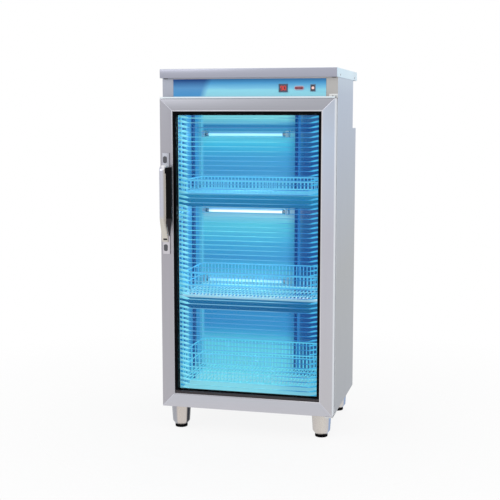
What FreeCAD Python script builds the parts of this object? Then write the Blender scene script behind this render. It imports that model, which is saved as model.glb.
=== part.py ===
import FreeCAD, Part
import os
import re
import Sketcher
from FreeCAD import Placement, Rotation, Vector

doc = FreeCAD.newDocument("DishSterilizerCabinet")
dims = doc.addObject("Spreadsheet::Sheet", "dims")

# Driving dimensions in millimetres: alias, value, meaning.
# The cabinet stands on its feet, its door faces -Y, and Y positions below are counted
# back from the front edge of the top cover.
driving = [
    ("coverWidth", 600, "top cover, side to side"),
    ("coverDepth", 436, "top cover, front to back"),
    ("totalHeight", 1235, "floor to the top of the cover"),
    ("coverLip", 30, "visible edge of the folded cover"),
    ("skin", 1.2, "outer stainless sheet"),
    ("linerSkin", 1, "inner stainless sheet"),
    ("gap", 0.3, "assembly gap between pieces"),
    ("sideInset", 2.4, "side panel inside the cover's edge"),
    ("faceSetback", 24, "front frame behind the cover's front edge"),
    ("jambWidth", 38, "front return of each side panel"),
    ("jambReturn", 12, "folded hem behind the front frame"),
    ("recessDepth", 76, "service recess at the upper rear"),
    ("recessHeight", 198, "recess ledge below the top"),
    ("footHeight", 84, "floor to the underside of the body"),
    ("footInset", 51, "foot axis from the cover's side"),
    ("footSetback", 50, "foot axis from the cover's front and rear"),
    ("sleeveTopRadius", 32, "foot sleeve at the body"),
    ("sleeveShoulderRadius", 28.5, "foot sleeve at its shoulder"),
    ("sleeveTipRadius", 22, "foot sleeve at its lower rim"),
    ("shoulderHeight", 22, "floor to the sleeve's shoulder"),
    ("padHeight", 10.5, "thickness of the foot's pad"),
    ("padRadius", 21.5, "radius of the foot's pad"),
    ("stemRadius", 11, "hexagonal levelling stem, across corners"),
    ("footSides", 20, "facets round a foot"),
    ("doorInset", 4, "door edge inside the cover's side"),
    ("doorRaise", 2, "door's lower edge above the underside of the body"),
    ("doorDrop", 98, "door's upper edge below the top"),
    ("doorProud", 14, "door face in front of the cover's edge"),
    ("doorDepth", 33, "thickness of the door frame"),
    ("stileWidth", 40.5, "door side profile"),
    ("topRailWidth", 42, "door top profile"),
    ("bottomRailWidth", 48, "door bottom profile"),
    ("gasketWidth", 11.5, "black glazing strip, visible face"),
    ("gasketSetback", 2.5, "glazing strip behind the door face"),
    ("glassSetback", 19, "glass behind the door face"),
    ("glassThickness", 5, "tempered glass"),
    ("glassBite", 8, "glass hidden behind the glazing strip"),
    ("innerFrameWidth", 52, "inner door frame strip"),
    ("sealWidth", 12, "magnetic seal"),
    ("sealInset", 22, "seal from the door's edge"),
    ("guardWire", 3, "guard wire, across its flats"),
    ("guardWires", 60, "number of guard wires"),
    ("guardMargin", 14, "first wire from the end of its carriers"),
    ("toothLength", 45, "flattened end of each guard wire"),
    ("toothRise", 10, "rise of each end towards the frame"),
    ("toothHeight", 8, "height of the flattened end"),
    ("carrierWidth", 8, "upright strip that carries the wires"),
    ("hingeInset", 10, "hinge axis from the door's edge"),
    ("hingeSetback", 18, "hinge axis behind the door face"),
    ("hingePinRadius", 4, "hinge pin"),
    ("hingeClearance", 0.06, "hinge pin to bush, radial"),
    ("hingePlate", 3, "hinge bracket plate"),
    ("hingeBush", 20, "height of the hinge bush block"),
    ("hingeWidth", 16, "hinge plate and bush towards the door's middle"),
    ("hingeNose", 12, "hinge plate around the pin"),
    ("hingeFlange", 12, "upturned leg of the top bracket"),
    ("hingeTail", 40, "bottom bracket under the base pan"),
    ("hingeLift", 2, "top bracket above the door"),
    ("sillHeight", 40, "base pan's sill, under the chamber"),
    ("deckDrop", 129, "chamber's ceiling below the top"),
    ("linerClear", 6.3, "rear liner in front of the recess sheet"),
    ("backPad", 26, "insulation behind the chamber"),
    ("fasciaClear", 2, "control strip above the door"),
    ("filmMargin", 3.5, "film inside the control strip's lower and upper edges"),
    ("filmSheet", 0.4, "film thickness"),
    ("controlRise", 28, "axis of the display and switches above the film's lower edge"),
    ("displayInset", 141.7, "display from the right end of the film"),
    ("displayWidth", 30, "display bezel width"),
    ("displayHeight", 27, "display bezel height"),
    ("windowWidth", 22, "display window width"),
    ("windowHeight", 17, "display window height"),
    ("lampSwitchInset", 88.6, "oval switch from the right end of the film"),
    ("lampSwitchWidth", 33, "oval switch bezel width"),
    ("lampSwitchHeight", 14, "oval switch bezel height"),
    ("lampSwitchTravel", 2.5, "push of the oval switch"),
    ("wellFloor", 0.8, "floor of the oval switch's well"),
    ("capSheet", 2, "plate of the oval switch's cap"),
    ("stemReach", 2, "cap's stem behind the film at rest"),
    ("rockerInset", 43.1, "power rocker from the right end of the film"),
    ("rockerWidth", 17, "rocker bezel width"),
    ("rockerHeight", 23, "rocker bezel height"),
    ("bezelProud", 2.4, "bezels in front of the film"),
    ("bezelRim", 2.2, "rim of each bezel"),
    ("housingDepth", 24, "switch housings behind the fascia"),
    ("rockerWell", 6, "rocker's well behind the film"),
    ("rockerBody", 3, "rocker behind the film"),
    ("rockerPlay", 1, "rocker to the ends of its well"),
    ("rockerDish", 1, "hollow of the rocker's face"),
    ("rockerPivot", 2.5, "rocker's axis behind the film"),
    ("rockerPin", 1.1, "rocker's trunnion radius"),
    ("rockerClearance", 0.05, "trunnion to its hole, radial"),
    ("handleDrop", 180, "handle plate below the door's upper edge"),
    ("handleLength", 341, "handle plate, bottom to top"),
    ("handlePlateWidth", 26, "handle plate width"),
    ("handlePlateSheet", 3, "handle plate thickness"),
    ("handleInset", 21, "handle plate axis from the door's edge"),
    ("handleStand", 48, "handle front from the door face"),
    ("gripRise", 60, "handle shell's foot above the plate's lower end"),
    ("gripLength", 243, "handle shell, bottom to top"),
    ("gripSlope", 60, "length of the sloping lower end"),
    ("shellWidth", 20, "handle shell, side to side"),
    ("shellWall", 3, "handle shell wall"),
    ("shellRound", 5, "eased edges of the shell and grip"),
    ("gripReach", 21, "grip beyond the shell"),
    ("gripDepth", 16, "grip, front to back"),
    ("uprightWidth", 20, "shelf upright, front to back"),
    ("uprightDepth", 8, "shelf upright from the wall"),
    ("uprightFront", 140, "front uprights behind the cover's edge"),
    ("uprightRear", 121.5, "rear uprights in front of the rear liner"),
    ("uprightWall", 3, "thickness behind the hook slots"),
    ("hookSlots", 6, "hook slots in an upright"),
    ("hookHeight", 20, "height of a hook slot"),
    ("hookWidth", 4, "width of a hook slot"),
    ("hookMargin", 40, "hook slots from the upright's ends"),
    ("runnerWidth", 20, "shelf runner ledge"),
    ("runnerSheet", 1.5, "shelf runner thickness"),
    ("runnerRise", 16, "runner's flange up the wall"),
    ("levelTop", 820, "floor to the top basket"),
    ("levelMiddle", 466, "floor to the middle basket"),
    ("levelBottom", 166, "floor to the bottom basket"),
    ("beamHeight", 44, "front beam under a basket"),
    ("beamDepth", 18, "front beam, front to back"),
    ("beamSetback", 36, "front beam behind the cover's edge"),
    ("basketSide", 14.1, "basket from the liner's side"),
    ("basketRear", 8.9, "basket from the lamp holders"),
    ("basketRise", 44, "height of the top basket"),
    ("middleRise", 80, "height of the middle basket"),
    ("bottomRise", 98, "height of the bottom basket"),
    ("rimBar", 5, "basket frame bar"),
    ("basketWire", 3, "basket wire"),
    ("basketWires", 20, "wires across a basket"),
    ("sideWires", 6, "wires along a basket's side"),
    ("frontWires", 12, "wires across the basket's front"),
    ("lampRadius", 8, "germicidal tube"),
    ("lampSpan", 300, "tube between its holders"),
    ("lampCap", 12, "metal cap at each end of a tube"),
    ("capProud", 0.7, "cap beyond the tube's radius"),
    ("lampInset", 23.1, "tube's left end from the liner's side"),
    ("lampStand", 18, "tube axis in front of the rear liner"),
    ("lampTopDrop", 91, "top tube below the chamber's ceiling"),
    ("lampMiddleDrop", 83, "middle tube below the top basket"),
    ("lampLowerRise", 15, "lower tube above the middle basket's floor"),
    ("holderThickness", 12, "lamp holder, along the tube"),
    ("holderHeight", 24, "lamp holder, bottom to top"),
    ("holderNose", 14, "lamp holder in front of the tube's axis"),
    ("troughHeight", 40, "reflector behind a tube"),
    ("troughRidge", 12, "flat ridge of the reflector"),
    ("troughSheet", 0.8, "reflector edge thickness"),
    ("louvres", 9, "slots in the back panel"),
    ("louvreSlot", 6, "height of a slot"),
    ("louvreWidth", 150, "width of a slot"),
    ("louvrePitch", 16, "slot spacing"),
    ("louvreDrop", 300, "lowest slot below the chamber's top"),
    ("upperLouvres", 4, "slots in the recess"),
    ("upperLouvreRise", 28, "lowest recess slot above the chamber's top"),
    ("deckSlots", 10, "slots in the deck under the fan"),
    ("deckSlotWidth", 4, "width of a deck slot"),
    ("fanSize", 120, "circulation fan frame"),
    ("fanDepth", 38, "circulation fan depth"),
    ("fanBlades", 7, "fan blades"),
    ("fanSetback", 190, "fan axis behind the cover's edge"),
    ("fanRim", 4, "thinnest wall of the fan's ring"),
    ("fanHub", 19, "fan hub radius"),
    ("fanBase", 6, "motor base and arms"),
    ("fanShaft", 2, "fan shaft radius"),
    ("fanClearance", 0.06, "fan shaft to hub, radial"),
    ("bladeChord", 22, "fan blade, front to back"),
    ("bladeSheet", 1.6, "fan blade thickness"),
    ("bladePitch", 38, "fan blade angle, degrees"),
    ("bladeTip", 6, "blade short of the ring"),
    ("deckClear", 8, "between the parts on the deck"),
    ("ballastWidth", 44, "lamp ballast, side to side"),
    ("ballastLength", 150, "lamp ballast, front to back"),
    ("ballastHeight", 28, "lamp ballast height"),
    ("boardWidth", 150, "control board, side to side"),
    ("boardDepth", 90, "control board, front to back"),
    ("boardSheet", 1.6, "control board thickness"),
    ("boardStand", 10, "control board above the deck"),
    ("boardFoot", 6, "posts under the control board"),
    ("transformerWidth", 66, "transformer, side to side"),
    ("transformerDepth", 54, "transformer, front to back"),
    ("transformerHeight", 50, "transformer height"),
    ("terminalWidth", 80, "terminal block, side to side"),
    ("terminalDepth", 24, "terminal block, front to back"),
    ("terminalHeight", 22, "terminal block height"),
    ("screwHead", 4, "screw head radius"),
    ("screwProud", 1, "screw head thickness"),
    ("screwSetback", 60, "front cover screw behind the cover's edge"),
    ("screwRise", 8, "cover screws above the cover's lower edge"),
    ("glandRadius", 9, "cable gland nut"),
    ("glandThread", 6, "cable gland thread radius"),
    ("glandBore", 3.5, "cable gland passage radius"),
    ("glandInset", 90, "cable gland from the cover's side"),
    ("glandRise", 40, "cable gland above the recess ledge"),
]

# Sizes that follow from the driving ones.
derived = {
    "frontY": "(doorProud + handleStand - coverDepth) / 2",
    "rearY": "frontY + coverDepth",
    "faceY": "frontY + faceSetback",
    "faceBackY": "faceY + skin",
    "doorFaceY": "frontY - doorProud",
    "doorBackY": "doorFaceY + doorDepth",
    "innerFrameY": "doorBackY + linerSkin",
    "sideX": "coverWidth / 2 - sideInset",
    "jambX": "sideX - jambWidth",
    "openX": "jambX - gap",
    "coverBottom": "totalHeight - coverLip",
    "bodyTop": "totalHeight - skin - gap",
    "doorBottom": "footHeight + doorRaise",
    "doorTop": "totalHeight - doorDrop",
    "doorX": "coverWidth / 2 - doorInset",
    "lightX": "doorX - stileWidth",
    "lightBottom": "doorBottom + bottomRailWidth",
    "lightTop": "doorTop - topRailWidth",
    "paneY": "doorFaceY + glassSetback",
    "paneBackY": "paneY + glassThickness",
    "hingeX": "doorX - hingeInset",
    "hingeY": "doorFaceY + hingeSetback",
    "chamberFrontY": "faceBackY + gap",
    "chamberBackY": "recessY - skin - linerSkin - linerClear",
    "chamberFloor": "footHeight + sillHeight",
    "chamberTop": "totalHeight - deckDrop",
    "linerX": "jambX + skin + gap",
    "recessY": "rearY - recessDepth",
    "recessFloor": "totalHeight - recessHeight",
    "fasciaBottom": "doorTop + fasciaClear",
    "filmBottom": "fasciaBottom + filmMargin",
    "filmTop": "coverBottom - filmMargin",
    "controlHeight": "filmBottom + controlRise",
    "displayAcross": "openX - displayInset",
    "lampSwitchAcross": "openX - lampSwitchInset",
    "rockerAcross": "openX - rockerInset",
    "controlFaceY": "faceY - filmSheet",
    "handleX": "handleInset - doorX",
    "handleBottom": "doorTop - handleDrop - handleLength",
    "gripBottom": "handleBottom + gripRise",
    "plateY": "doorFaceY - handlePlateSheet",
    "handleFrontY": "doorFaceY - handleStand",
    "shellX": "handleX - shellWidth / 2",
    "gripTop": "gripBottom + gripLength",
    "uprightX": "linerX - uprightDepth",
    "basketY": "frontY + beamSetback + beamDepth + 2 * gap",
    "lampY": "chamberBackY - lampStand",
    "panelX": "sideX - skin - gap",
    "deckTop": "chamberTop + linerSkin",
    "lampLeft": "lampInset - linerX",
    "lampRight": "lampLeft + lampSpan",
    "lampTopHeight": "chamberTop - lampTopDrop",
    "lampMiddleHeight": "levelTop - lampMiddleDrop",
    "lampLowerHeight": "levelMiddle + lampLowerRise",
    "basketHalf": "linerX - basketSide",
    "basketDepth": "lampY - holderNose - basketRear - basketY",
    "uprightFrontY": "frontY + uprightFront",
    "uprightRearY": "chamberBackY - uprightRear",
    "glandAcross": "coverWidth / 2 - glandInset",
    "capRestY": "controlFaceY - wellFloor - gap - lampSwitchTravel - capSheet",
    "footX": "coverWidth / 2 - footInset",
    "footFrontY": "frontY + footSetback",
    "footRearY": "rearY - footSetback",
    "gripY": "handleFrontY + shellWall + gap",
}


def number(name):
    """The value of a driving dimension."""
    return float(dims.get(name))


def bound(text):
    """An expression on the sheet's aliases, from one written with the names above."""
    def expand(match):
        word = match.group(0)
        if word in derived:
            return "(" + bound(derived[word]) + ")"
        return "dims." + word if word in aliases else word
    return re.sub(r"[A-Za-z]\w*", expand, text)


def bind(thing, **values):
    """Ties properties to expressions; a double underscore stands for a dot."""
    for name, text in values.items():
        thing.setExpression(name.replace("__", "."), bound(str(text)))
    return thing


aliases = set()
for row, (alias, value, meaning) in enumerate(driving, start=1):
    dims.set(f"A{row}", meaning)
    dims.set(f"B{row}", str(value))
    dims.setAlias(f"B{row}", alias)
    aliases.add(alias)
doc.recompute()

nodes = []


def node(label, thing):
    """Names a finished piece and lists it for its file."""
    thing.Label = label
    nodes.append(thing)
    return thing


def block(name, x, y, z, dx, dy, dz):
    """A box from its lowest corner and its three sides."""
    made = doc.addObject("Part::Box", name)
    bind(made, Length=dx, Width=dy, Height=dz)
    return bind(made, Placement__Base__x=x, Placement__Base__y=y, Placement__Base__z=z)


turns = {
    "x": Rotation(Vector(0, 1, 0), 90),
    "y": Rotation(Vector(1, 0, 0), -90),
    "z": Rotation(),
}


def rod(name, x, y, z, radius, length, axis="z"):
    """A round bar that starts at a point and runs along +X, +Y or +Z."""
    made = doc.addObject("Part::Cylinder", name)
    made.Placement = Placement(Vector(), turns[axis])
    bind(made, Radius=radius, Height=length)
    return bind(made, Placement__Base__x=x, Placement__Base__y=y, Placement__Base__z=z)


def prism(name, x, y, z, radius, length, sides, axis="z"):
    """A bar of equal sides that starts at a point and runs along +X, +Y or +Z."""
    made = doc.addObject("Part::Prism", name)
    made.Placement = Placement(Vector(), turns[axis])
    bind(made, Polygon=sides, Circumradius=radius, Height=length)
    return bind(made, Placement__Base__x=x, Placement__Base__y=y, Placement__Base__z=z)


def fuse(name, parts):
    made = doc.addObject("Part::MultiFuse", name)
    made.Shapes = parts
    return made


def cut(name, base, tools):
    made = doc.addObject("Part::Cut", name)
    made.Base = base
    made.Tool = tools[0] if len(tools) == 1 else fuse(name + "_tools", tools)
    return made


def group(name, parts):
    """Separate solids that share one node."""
    made = doc.addObject("Part::Compound", name)
    made.Links = parts
    return made


# Sketch planes: which way the plane's normal runs along its axis.
planeSign = {"XY": 1, "XZ": -1, "YZ": 1}


def newBody(name):
    return doc.addObject("PartDesign::Body", name)


def origin(body, role):
    return next(f for f in body.Origin.OriginFeatures if f.Role == role)


def outline(body, plane, loops, start):
    """A sketch of closed polygons on an origin plane, moved to start along its axis."""
    made = body.newObject("Sketcher::SketchObject", body.Name + "_sketch")
    made.AttachmentSupport = [(origin(body, plane + "_Plane"), "")]
    made.MapMode = "FlatFace"
    sign = "" if planeSign[plane] > 0 else "-"
    bind(made, AttachmentOffset__Base__z=f"{sign}({start})")
    first = 0
    for loop in loops:
        count = len(loop)
        spots = [Vector(10 * k, (k * k) % 7 + 1, 0) for k in range(count)]
        lines = [Part.LineSegment(spots[k], spots[(k + 1) % count]) for k in range(count)]
        made.addGeometry(lines)
        for k in range(count):
            made.addConstraint(Sketcher.Constraint("Coincident", first + k, 2, first + (k + 1) % count, 1))
        for k, (u, v) in enumerate(loop):
            for kind, text, guess in (("DistanceX", u, spots[k].x), ("DistanceY", v, spots[k].y)):
                index = made.addConstraint(Sketcher.Constraint(kind, -1, 1, first + k, 1, guess))
                made.setExpression(f"Constraints[{index}]", bound(text))
        first += count
    return made


def pad(body, plane, loops, start, length):
    """Adds a prism on closed polygons, from start along the plane's axis."""
    made = body.newObject("PartDesign::Pad", body.Name + "_pad")
    made.Profile = outline(body, plane, loops, start)
    made.Reversed = planeSign[plane] < 0
    return bind(made, Length=length)


def pocket(body, plane, loops, start, length):
    """Cuts a prism on closed polygons, from start along the plane's axis."""
    made = body.newObject("PartDesign::Pocket", body.Name + "_pocket")
    made.Profile = outline(body, plane, loops, start)
    made.Reversed = planeSign[plane] > 0
    return bind(made, Length=length)


def repeat(body, features, axis, count, length):
    """A row of copies of features along an axis, over a length."""
    made = body.newObject("PartDesign::LinearPattern", body.Name + "_row")
    made.Originals = features
    made.Direction = (origin(body, axis + "_Axis"), [""])
    bind(made, Length=length, Occurrences=count)
    body.Tip = made
    return made


def rectangle(u0, v0, u1, v1):
    return [(u0, v0), (u1, v0), (u1, v1), (u0, v1)]


def at(thing, x, y, z):
    return bind(thing, Placement__Base__x=x, Placement__Base__y=y, Placement__Base__z=z)


def topCover():
    """A folded lid: open underneath, with a return lip under its front edge."""
    half = "coverWidth / 2"
    body = newBody("cover")
    pad(body, "XY", [rectangle("-" + half, "frontY", half, "rearY")], "coverBottom", "coverLip")
    inner = rectangle(f"skin - {half}", "frontY + skin", f"{half} - skin", "rearY - skin")
    pocket(body, "XY", [inner], "coverBottom", "coverLip - skin")
    lip = rectangle(f"-{half}", "frontY", half, "faceY - 2 * gap - filmSheet")
    pad(body, "XY", [lip], "coverBottom", "skin")
    node("top_cover", body)


def sidePanel(label, side):
    """A flat side with the rear recess cut out, its front return and that return's hem."""
    body = newBody(label)
    sheet = [
        ("faceY", "footHeight"), ("rearY - skin - gap", "footHeight"),
        ("rearY - skin - gap", "recessFloor"), ("recessY", "recessFloor"),
        ("recessY", "bodyTop"), ("faceY", "bodyTop"),
    ]
    start = "sideX - skin" if side > 0 else "-sideX"
    pad(body, "YZ", [sheet], start, "skin")
    inner, outer = ("jambX", "sideX") if side > 0 else ("-sideX", "-jambX")
    pad(body, "XZ", [rectangle(inner, "footHeight", outer, "bodyTop")], "faceY", "skin")
    edge = "jambX" if side > 0 else "-jambX - skin"
    hem = rectangle(edge, "chamberFloor + linerSkin + gap", f"{edge} + skin", "bodyTop")
    pad(body, "XZ", [hem], "faceY", "jambReturn")
    node(label, body)


def louvre(body, bottom, face, count):
    """A column of slots through an upright sheet."""
    slot = pocket(body, "XZ", [rectangle("-louvreWidth / 2", bottom, "louvreWidth / 2",
                                         f"{bottom} + louvreSlot")],
                  f"{face} - 1", "skin + 2")
    repeat(body, [slot], "Z", count, f"({count} - 1) * louvrePitch")


def backPanels():
    """The lower back with its louvre slots, and the stepped sheet that forms the recess."""
    body = newBody("back")
    sheet = rectangle("-panelX", "footHeight + skin + gap", "panelX", "recessFloor - skin - gap")
    pad(body, "XZ", [sheet], "rearY - skin", "skin")
    louvre(body, "chamberTop - louvreDrop", "rearY - skin", "louvres")
    node("back_panel", body)

    step = newBody("step")
    fold = [
        ("recessY - skin", "recessFloor - skin"), ("rearY", "recessFloor - skin"),
        ("rearY", "recessFloor"), ("recessY", "recessFloor"),
        ("recessY", "bodyTop"), ("recessY - skin", "bodyTop"),
    ]
    pad(step, "YZ", [fold], "-panelX", "2 * panelX")
    louvre(step, "chamberTop + upperLouvreRise", "recessY - skin", "upperLouvres")
    hole = prism("gland_hole", "glandAcross", "recessY - skin - 1", "recessFloor + glandRise",
                 "glandThread + gap", "skin + 2", "16", "y")
    node("recess_panel", cut("stepped", step, [hole]))


def baseParts():
    """The base pan with its sill, the head rail over the door opening."""
    pan = newBody("pan")
    pad(pan, "XY", [rectangle("-panelX", "faceBackY", "panelX", "rearY - skin - gap")], "footHeight", "skin")
    pad(pan, "XZ", [rectangle("-openX", "footHeight", "openX", "chamberFloor")], "faceY", "skin")
    node("base_pan", pan)

    head = newBody("head")
    pad(head, "YZ", [folded("chamberTop + gap", "fasciaBottom - gap")], "-openX", "2 * openX")
    node("head_rail", head)


def folded(bottom, top):
    """The section of a front sheet with a return along its lower edge."""
    return [
        ("faceY", bottom), ("faceY + jambReturn", bottom), ("faceY + jambReturn", f"{bottom} + skin"),
        ("faceBackY", f"{bottom} + skin"), ("faceBackY", top), ("faceY", top),
    ]


def opening(across, width, height):
    """A rectangle on the control strip, centred on the controls' axis."""
    return rectangle(f"{across} - ({width}) / 2", f"controlHeight - ({height}) / 2",
                     f"{across} + ({width}) / 2", f"controlHeight + ({height}) / 2")


controls = [
    ("displayAcross", "displayWidth - 2 * bezelRim", "displayHeight - 2 * bezelRim"),
    ("lampSwitchAcross", "lampSwitchWidth - 4 * bezelRim", "lampSwitchHeight - 2 * bezelRim"),
    ("rockerAcross", "rockerWidth - bezelRim", "rockerHeight - bezelRim"),
]


def controlStrip():
    """The stainless fascia between the jambs and its coloured film, with shared cut-outs."""
    fascia = newBody("fascia")
    pad(fascia, "YZ", [folded("fasciaBottom", "bodyTop")], "-openX", "2 * openX")
    for across, width, height in controls:
        pocket(fascia, "XZ", [opening(across, width, height)], "faceY - 1", "skin + 2")
    node("control_fascia", fascia)

    film = newBody("film")
    pad(film, "XZ", [rectangle("-openX", "filmBottom", "openX", "filmTop")], "controlFaceY", "filmSheet")
    for across, width, height in controls:
        pocket(film, "XZ", [opening(across, width, height)], "controlFaceY - 1", "filmSheet + 2")
    node("control_film", film)


def display():
    """A bezel with its housing through the fascia, and the tinted window in its pocket."""
    across, width, height = controls[0]
    body = newBody("bezel")
    face = "controlFaceY - bezelProud"
    pad(body, "XZ", [opening(across, "displayWidth", "displayHeight")], face, "bezelProud")
    pad(body, "XZ", [opening(across, f"{width} - 2 * gap", f"{height} - 2 * gap")],
        "controlFaceY", "housingDepth")
    pocket(body, "XZ", [opening(across, "windowWidth", "windowHeight")], f"{face} - 1", "bezelProud + 1")
    node("display_bezel", body)
    pane = newBody("pane")
    pad(pane, "XZ", [opening(across, "windowWidth - gap", "windowHeight - gap")],
        "controlFaceY - bezelProud + 0.5", "bezelProud - 0.5 - gap")
    node("display_window", pane)


def stadium(name, across, width, height, start, depth):
    """A plate with round ends on the controls' axis."""
    reach = f"(({width}) - ({height})) / 2"
    middle = block(name + "_mid", f"{across} - {reach}", start, f"controlHeight - ({height}) / 2",
                   f"2 * {reach}",
                   depth, height)
    ends = [rod(f"{name}_end{k}", f"{across} + {k} * {reach}", start,
                "controlHeight", f"({height}) / 2", depth, "y") for k in (-1, 1)]
    return fuse(name, [middle] + ends)


def ovalSwitch():
    """A bezel with a round-ended well, and the push cap that travels in it."""
    across, width, height = controls[1]
    rim = stadium("oval_rim", across, "lampSwitchWidth", "lampSwitchHeight", "controlFaceY - bezelProud",
                  "bezelProud")
    housing = block("oval_housing", f"{across} - ({width}) / 2 + gap", "controlFaceY",
                    f"controlHeight - ({height}) / 2 + gap", f"{width} - 2 * gap", "housingDepth",
                    f"{height} - 2 * gap")
    well = stadium("oval_well", across, "lampSwitchWidth - 2 * bezelRim", "lampSwitchHeight - 2 * bezelRim",
                   "controlFaceY - bezelProud - 1", "bezelProud + 1 - wellFloor")
    guide = "lampSwitchWidth - 6 * bezelRim", "lampSwitchHeight - 3 * bezelRim"
    bore = block("oval_bore", f"{across} - ({guide[0]}) / 2", "controlFaceY - wellFloor - 1",
                 f"controlHeight - ({guide[1]}) / 2", guide[0],
                 "wellFloor + 1 + stemReach + lampSwitchTravel + 2 * gap",
                 guide[1])
    node("oval_switch_bezel", cut("oval_bezel", fuse("oval_shape", [rim, housing]), [well, bore]))
    cap = stadium("oval_cap", across, "lampSwitchWidth - 2 * bezelRim - 2 * gap",
                  "lampSwitchHeight - 2 * bezelRim - 2 * gap", "capRestY", "capSheet")
    stem = block("oval_stem", f"{across} - ({guide[0]}) / 2 + gap", "capRestY + capSheet / 2",
                 f"controlHeight - ({guide[1]}) / 2 + gap", f"{guide[0]} - 2 * gap",
                 "controlFaceY + stemReach - capRestY - capSheet / 2", f"{guide[1]} - 2 * gap")
    node("oval_switch_cap", fuse("oval_push", [cap, stem]))


def powerRocker():
    """A snap-in housing with a well, and the rocker that tips about a cross axis in it."""
    across, width, height = controls[2]
    face = "controlFaceY - bezelProud"
    body = newBody("rocker_case")
    pad(body, "XZ", [opening(across, "rockerWidth", "rockerHeight")], face, "bezelProud")
    pad(body, "XZ", [opening(across, f"{width} - 2 * gap", f"{height} - 2 * gap")],
        "controlFaceY", "housingDepth")
    pocket(body, "XZ", [opening(across, "rockerWidth - 2 * bezelRim", "rockerHeight - 2 * bezelRim")],
           f"{face} - 1", "1 + bezelProud + rockerWell")
    outside = f"({width} - 2 * gap)"
    hole = rod("trunnion_hole", f"{across} - {outside} / 2 - 1", "controlFaceY + rockerPivot",
               "controlHeight",
               "rockerPin + rockerClearance", f"{outside} + 2", "x")
    node("power_rocker_bezel", cut("rocker_housing", body, [hole]))

    key = newBody("key")
    reach = "(rockerHeight / 2 - bezelRim - rockerPlay)"
    side = [
        ("controlFaceY + rockerBody", f"controlHeight - {reach} + rockerPlay"),
        (f"{face} - rockerDish / 2", f"controlHeight - {reach}"),
        (f"{face} + rockerDish / 2", "controlHeight"),
        (f"{face} - rockerDish / 2", f"controlHeight + {reach}"),
        ("controlFaceY + rockerBody", f"controlHeight + {reach} - rockerPlay"),
    ]
    pad(key, "YZ", [side], f"{across} - rockerWidth / 2 + bezelRim + gap",
        "rockerWidth - 2 * bezelRim - 2 * gap")
    pin = rod("trunnion", f"{across} - {outside} / 2", "controlFaceY + rockerPivot", "controlHeight",
              "rockerPin", outside, "x")
    node("power_rocker_key", fuse("rocker", [key, pin]))


def chamber():
    """The inner box: two sides, back, slotted ceiling and floor, and the pads round it."""
    height = "chamberTop - chamberFloor"
    deep = "chamberBackY - chamberFrontY - gap"
    sides = [block(f"liner_side{k}", x, "chamberFrontY", "chamberFloor + linerSkin + gap", "linerSkin", deep,
                   f"{height} - linerSkin - 2 * gap")
             for k, x in enumerate(("-linerX - linerSkin", "linerX"))]
    node("liner_sides", group("liner_pair", sides))
    node("liner_back", block("liner_back", "-linerX - linerSkin", "chamberBackY", "chamberFloor",
                             "2 * (linerX + linerSkin)", "linerSkin", height))
    node("liner_floor", block("liner_floor", "-linerX - linerSkin", "chamberFrontY", "chamberFloor",
                              "2 * (linerX + linerSkin)", deep, "linerSkin"))
    deck = newBody("deck")
    pad(deck, "XY", [rectangle("-linerX - linerSkin", "faceY + jambReturn + gap",
                               "linerX + linerSkin", "recessY - skin - gap")], "chamberTop", "linerSkin")
    reach = "(fanSize / 2 - fanRim - deckSlotWidth)"
    centre = "(frontY + fanSetback)"
    slot = pocket(deck, "XY", [rectangle(f"-{reach}", f"{centre} - {reach}", f"deckSlotWidth - {reach}",
                                         f"{centre} + {reach}")], "chamberTop - 1", "linerSkin + 2")
    repeat(deck, [slot], "X", "deckSlots", f"2 * {reach} - deckSlotWidth")
    node("chamber_deck", deck)
    wall = "linerX + linerSkin + gap"
    base = "footHeight + skin + gap"
    slabs = [block(f"insulation_side{k}", x, "chamberFrontY", base, f"panelX - ({wall})", deep,
                   f"chamberTop - ({base}) - gap") for k, x in enumerate(("-panelX", wall))]
    slabs.append(block("insulation_back", f"-({wall})", "chamberBackY + linerSkin + gap", base,
                       f"2 * ({wall})", "backPad", f"recessFloor - skin - ({base}) - gap"))
    slabs.append(block("insulation_floor", "-linerX", "faceBackY + gap", base,
                       "2 * linerX", "chamberBackY - chamberFrontY - 2 * gap",
                       f"chamberFloor - ({base}) - gap"))
    node("insulation_pads", group("insulation_set", slabs))


def upright(name, side, start):
    """A post on a side wall with a row of hook slots."""
    body = newBody(name)
    x = "uprightX" if side > 0 else "-linerX"
    low = "chamberFloor + linerSkin + gap"
    pad(body, "XY", [rectangle(x, start, f"{x} + uprightDepth", f"{start} + uprightWidth")], low,
        f"chamberTop - ({low}) - gap")
    middle = f"{start} + uprightWidth / 2"
    slot = rectangle(f"{middle} - hookWidth / 2", f"{low} + hookMargin", f"{middle} + hookWidth / 2",
                     f"{low} + hookMargin + hookHeight")
    face = "uprightX - 1" if side > 0 else "uprightWall - linerX"
    hole = pocket(body, "YZ", [slot], face, "uprightDepth - uprightWall + 1")
    repeat(body, [hole], "Z", "hookSlots", f"chamberTop - ({low}) - 2 * hookMargin - hookHeight")
    return body


def runner(name, side, level):
    """An angle on the uprights: a ledge under the basket and a flange up the wall."""
    body = newBody(name)
    seat = f"{level} - rimBar - gap"
    s = "" if side > 0 else "-"
    wall, inner = "(uprightX - gap / 2)", "(uprightX - runnerWidth)"
    profile = [
        (f"{s}{inner}", f"{seat} - runnerSheet"), (f"{s}{wall}", f"{seat} - runnerSheet"),
        (f"{s}{wall}", f"{seat} + runnerRise"), (f"{s}({wall} - runnerSheet)", f"{seat} + runnerRise"),
        (f"{s}({wall} - runnerSheet)", seat), (f"{s}{inner}", seat),
    ]
    pad(body, "XZ", [profile], "basketY", "basketDepth + rimBar")
    return body


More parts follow.
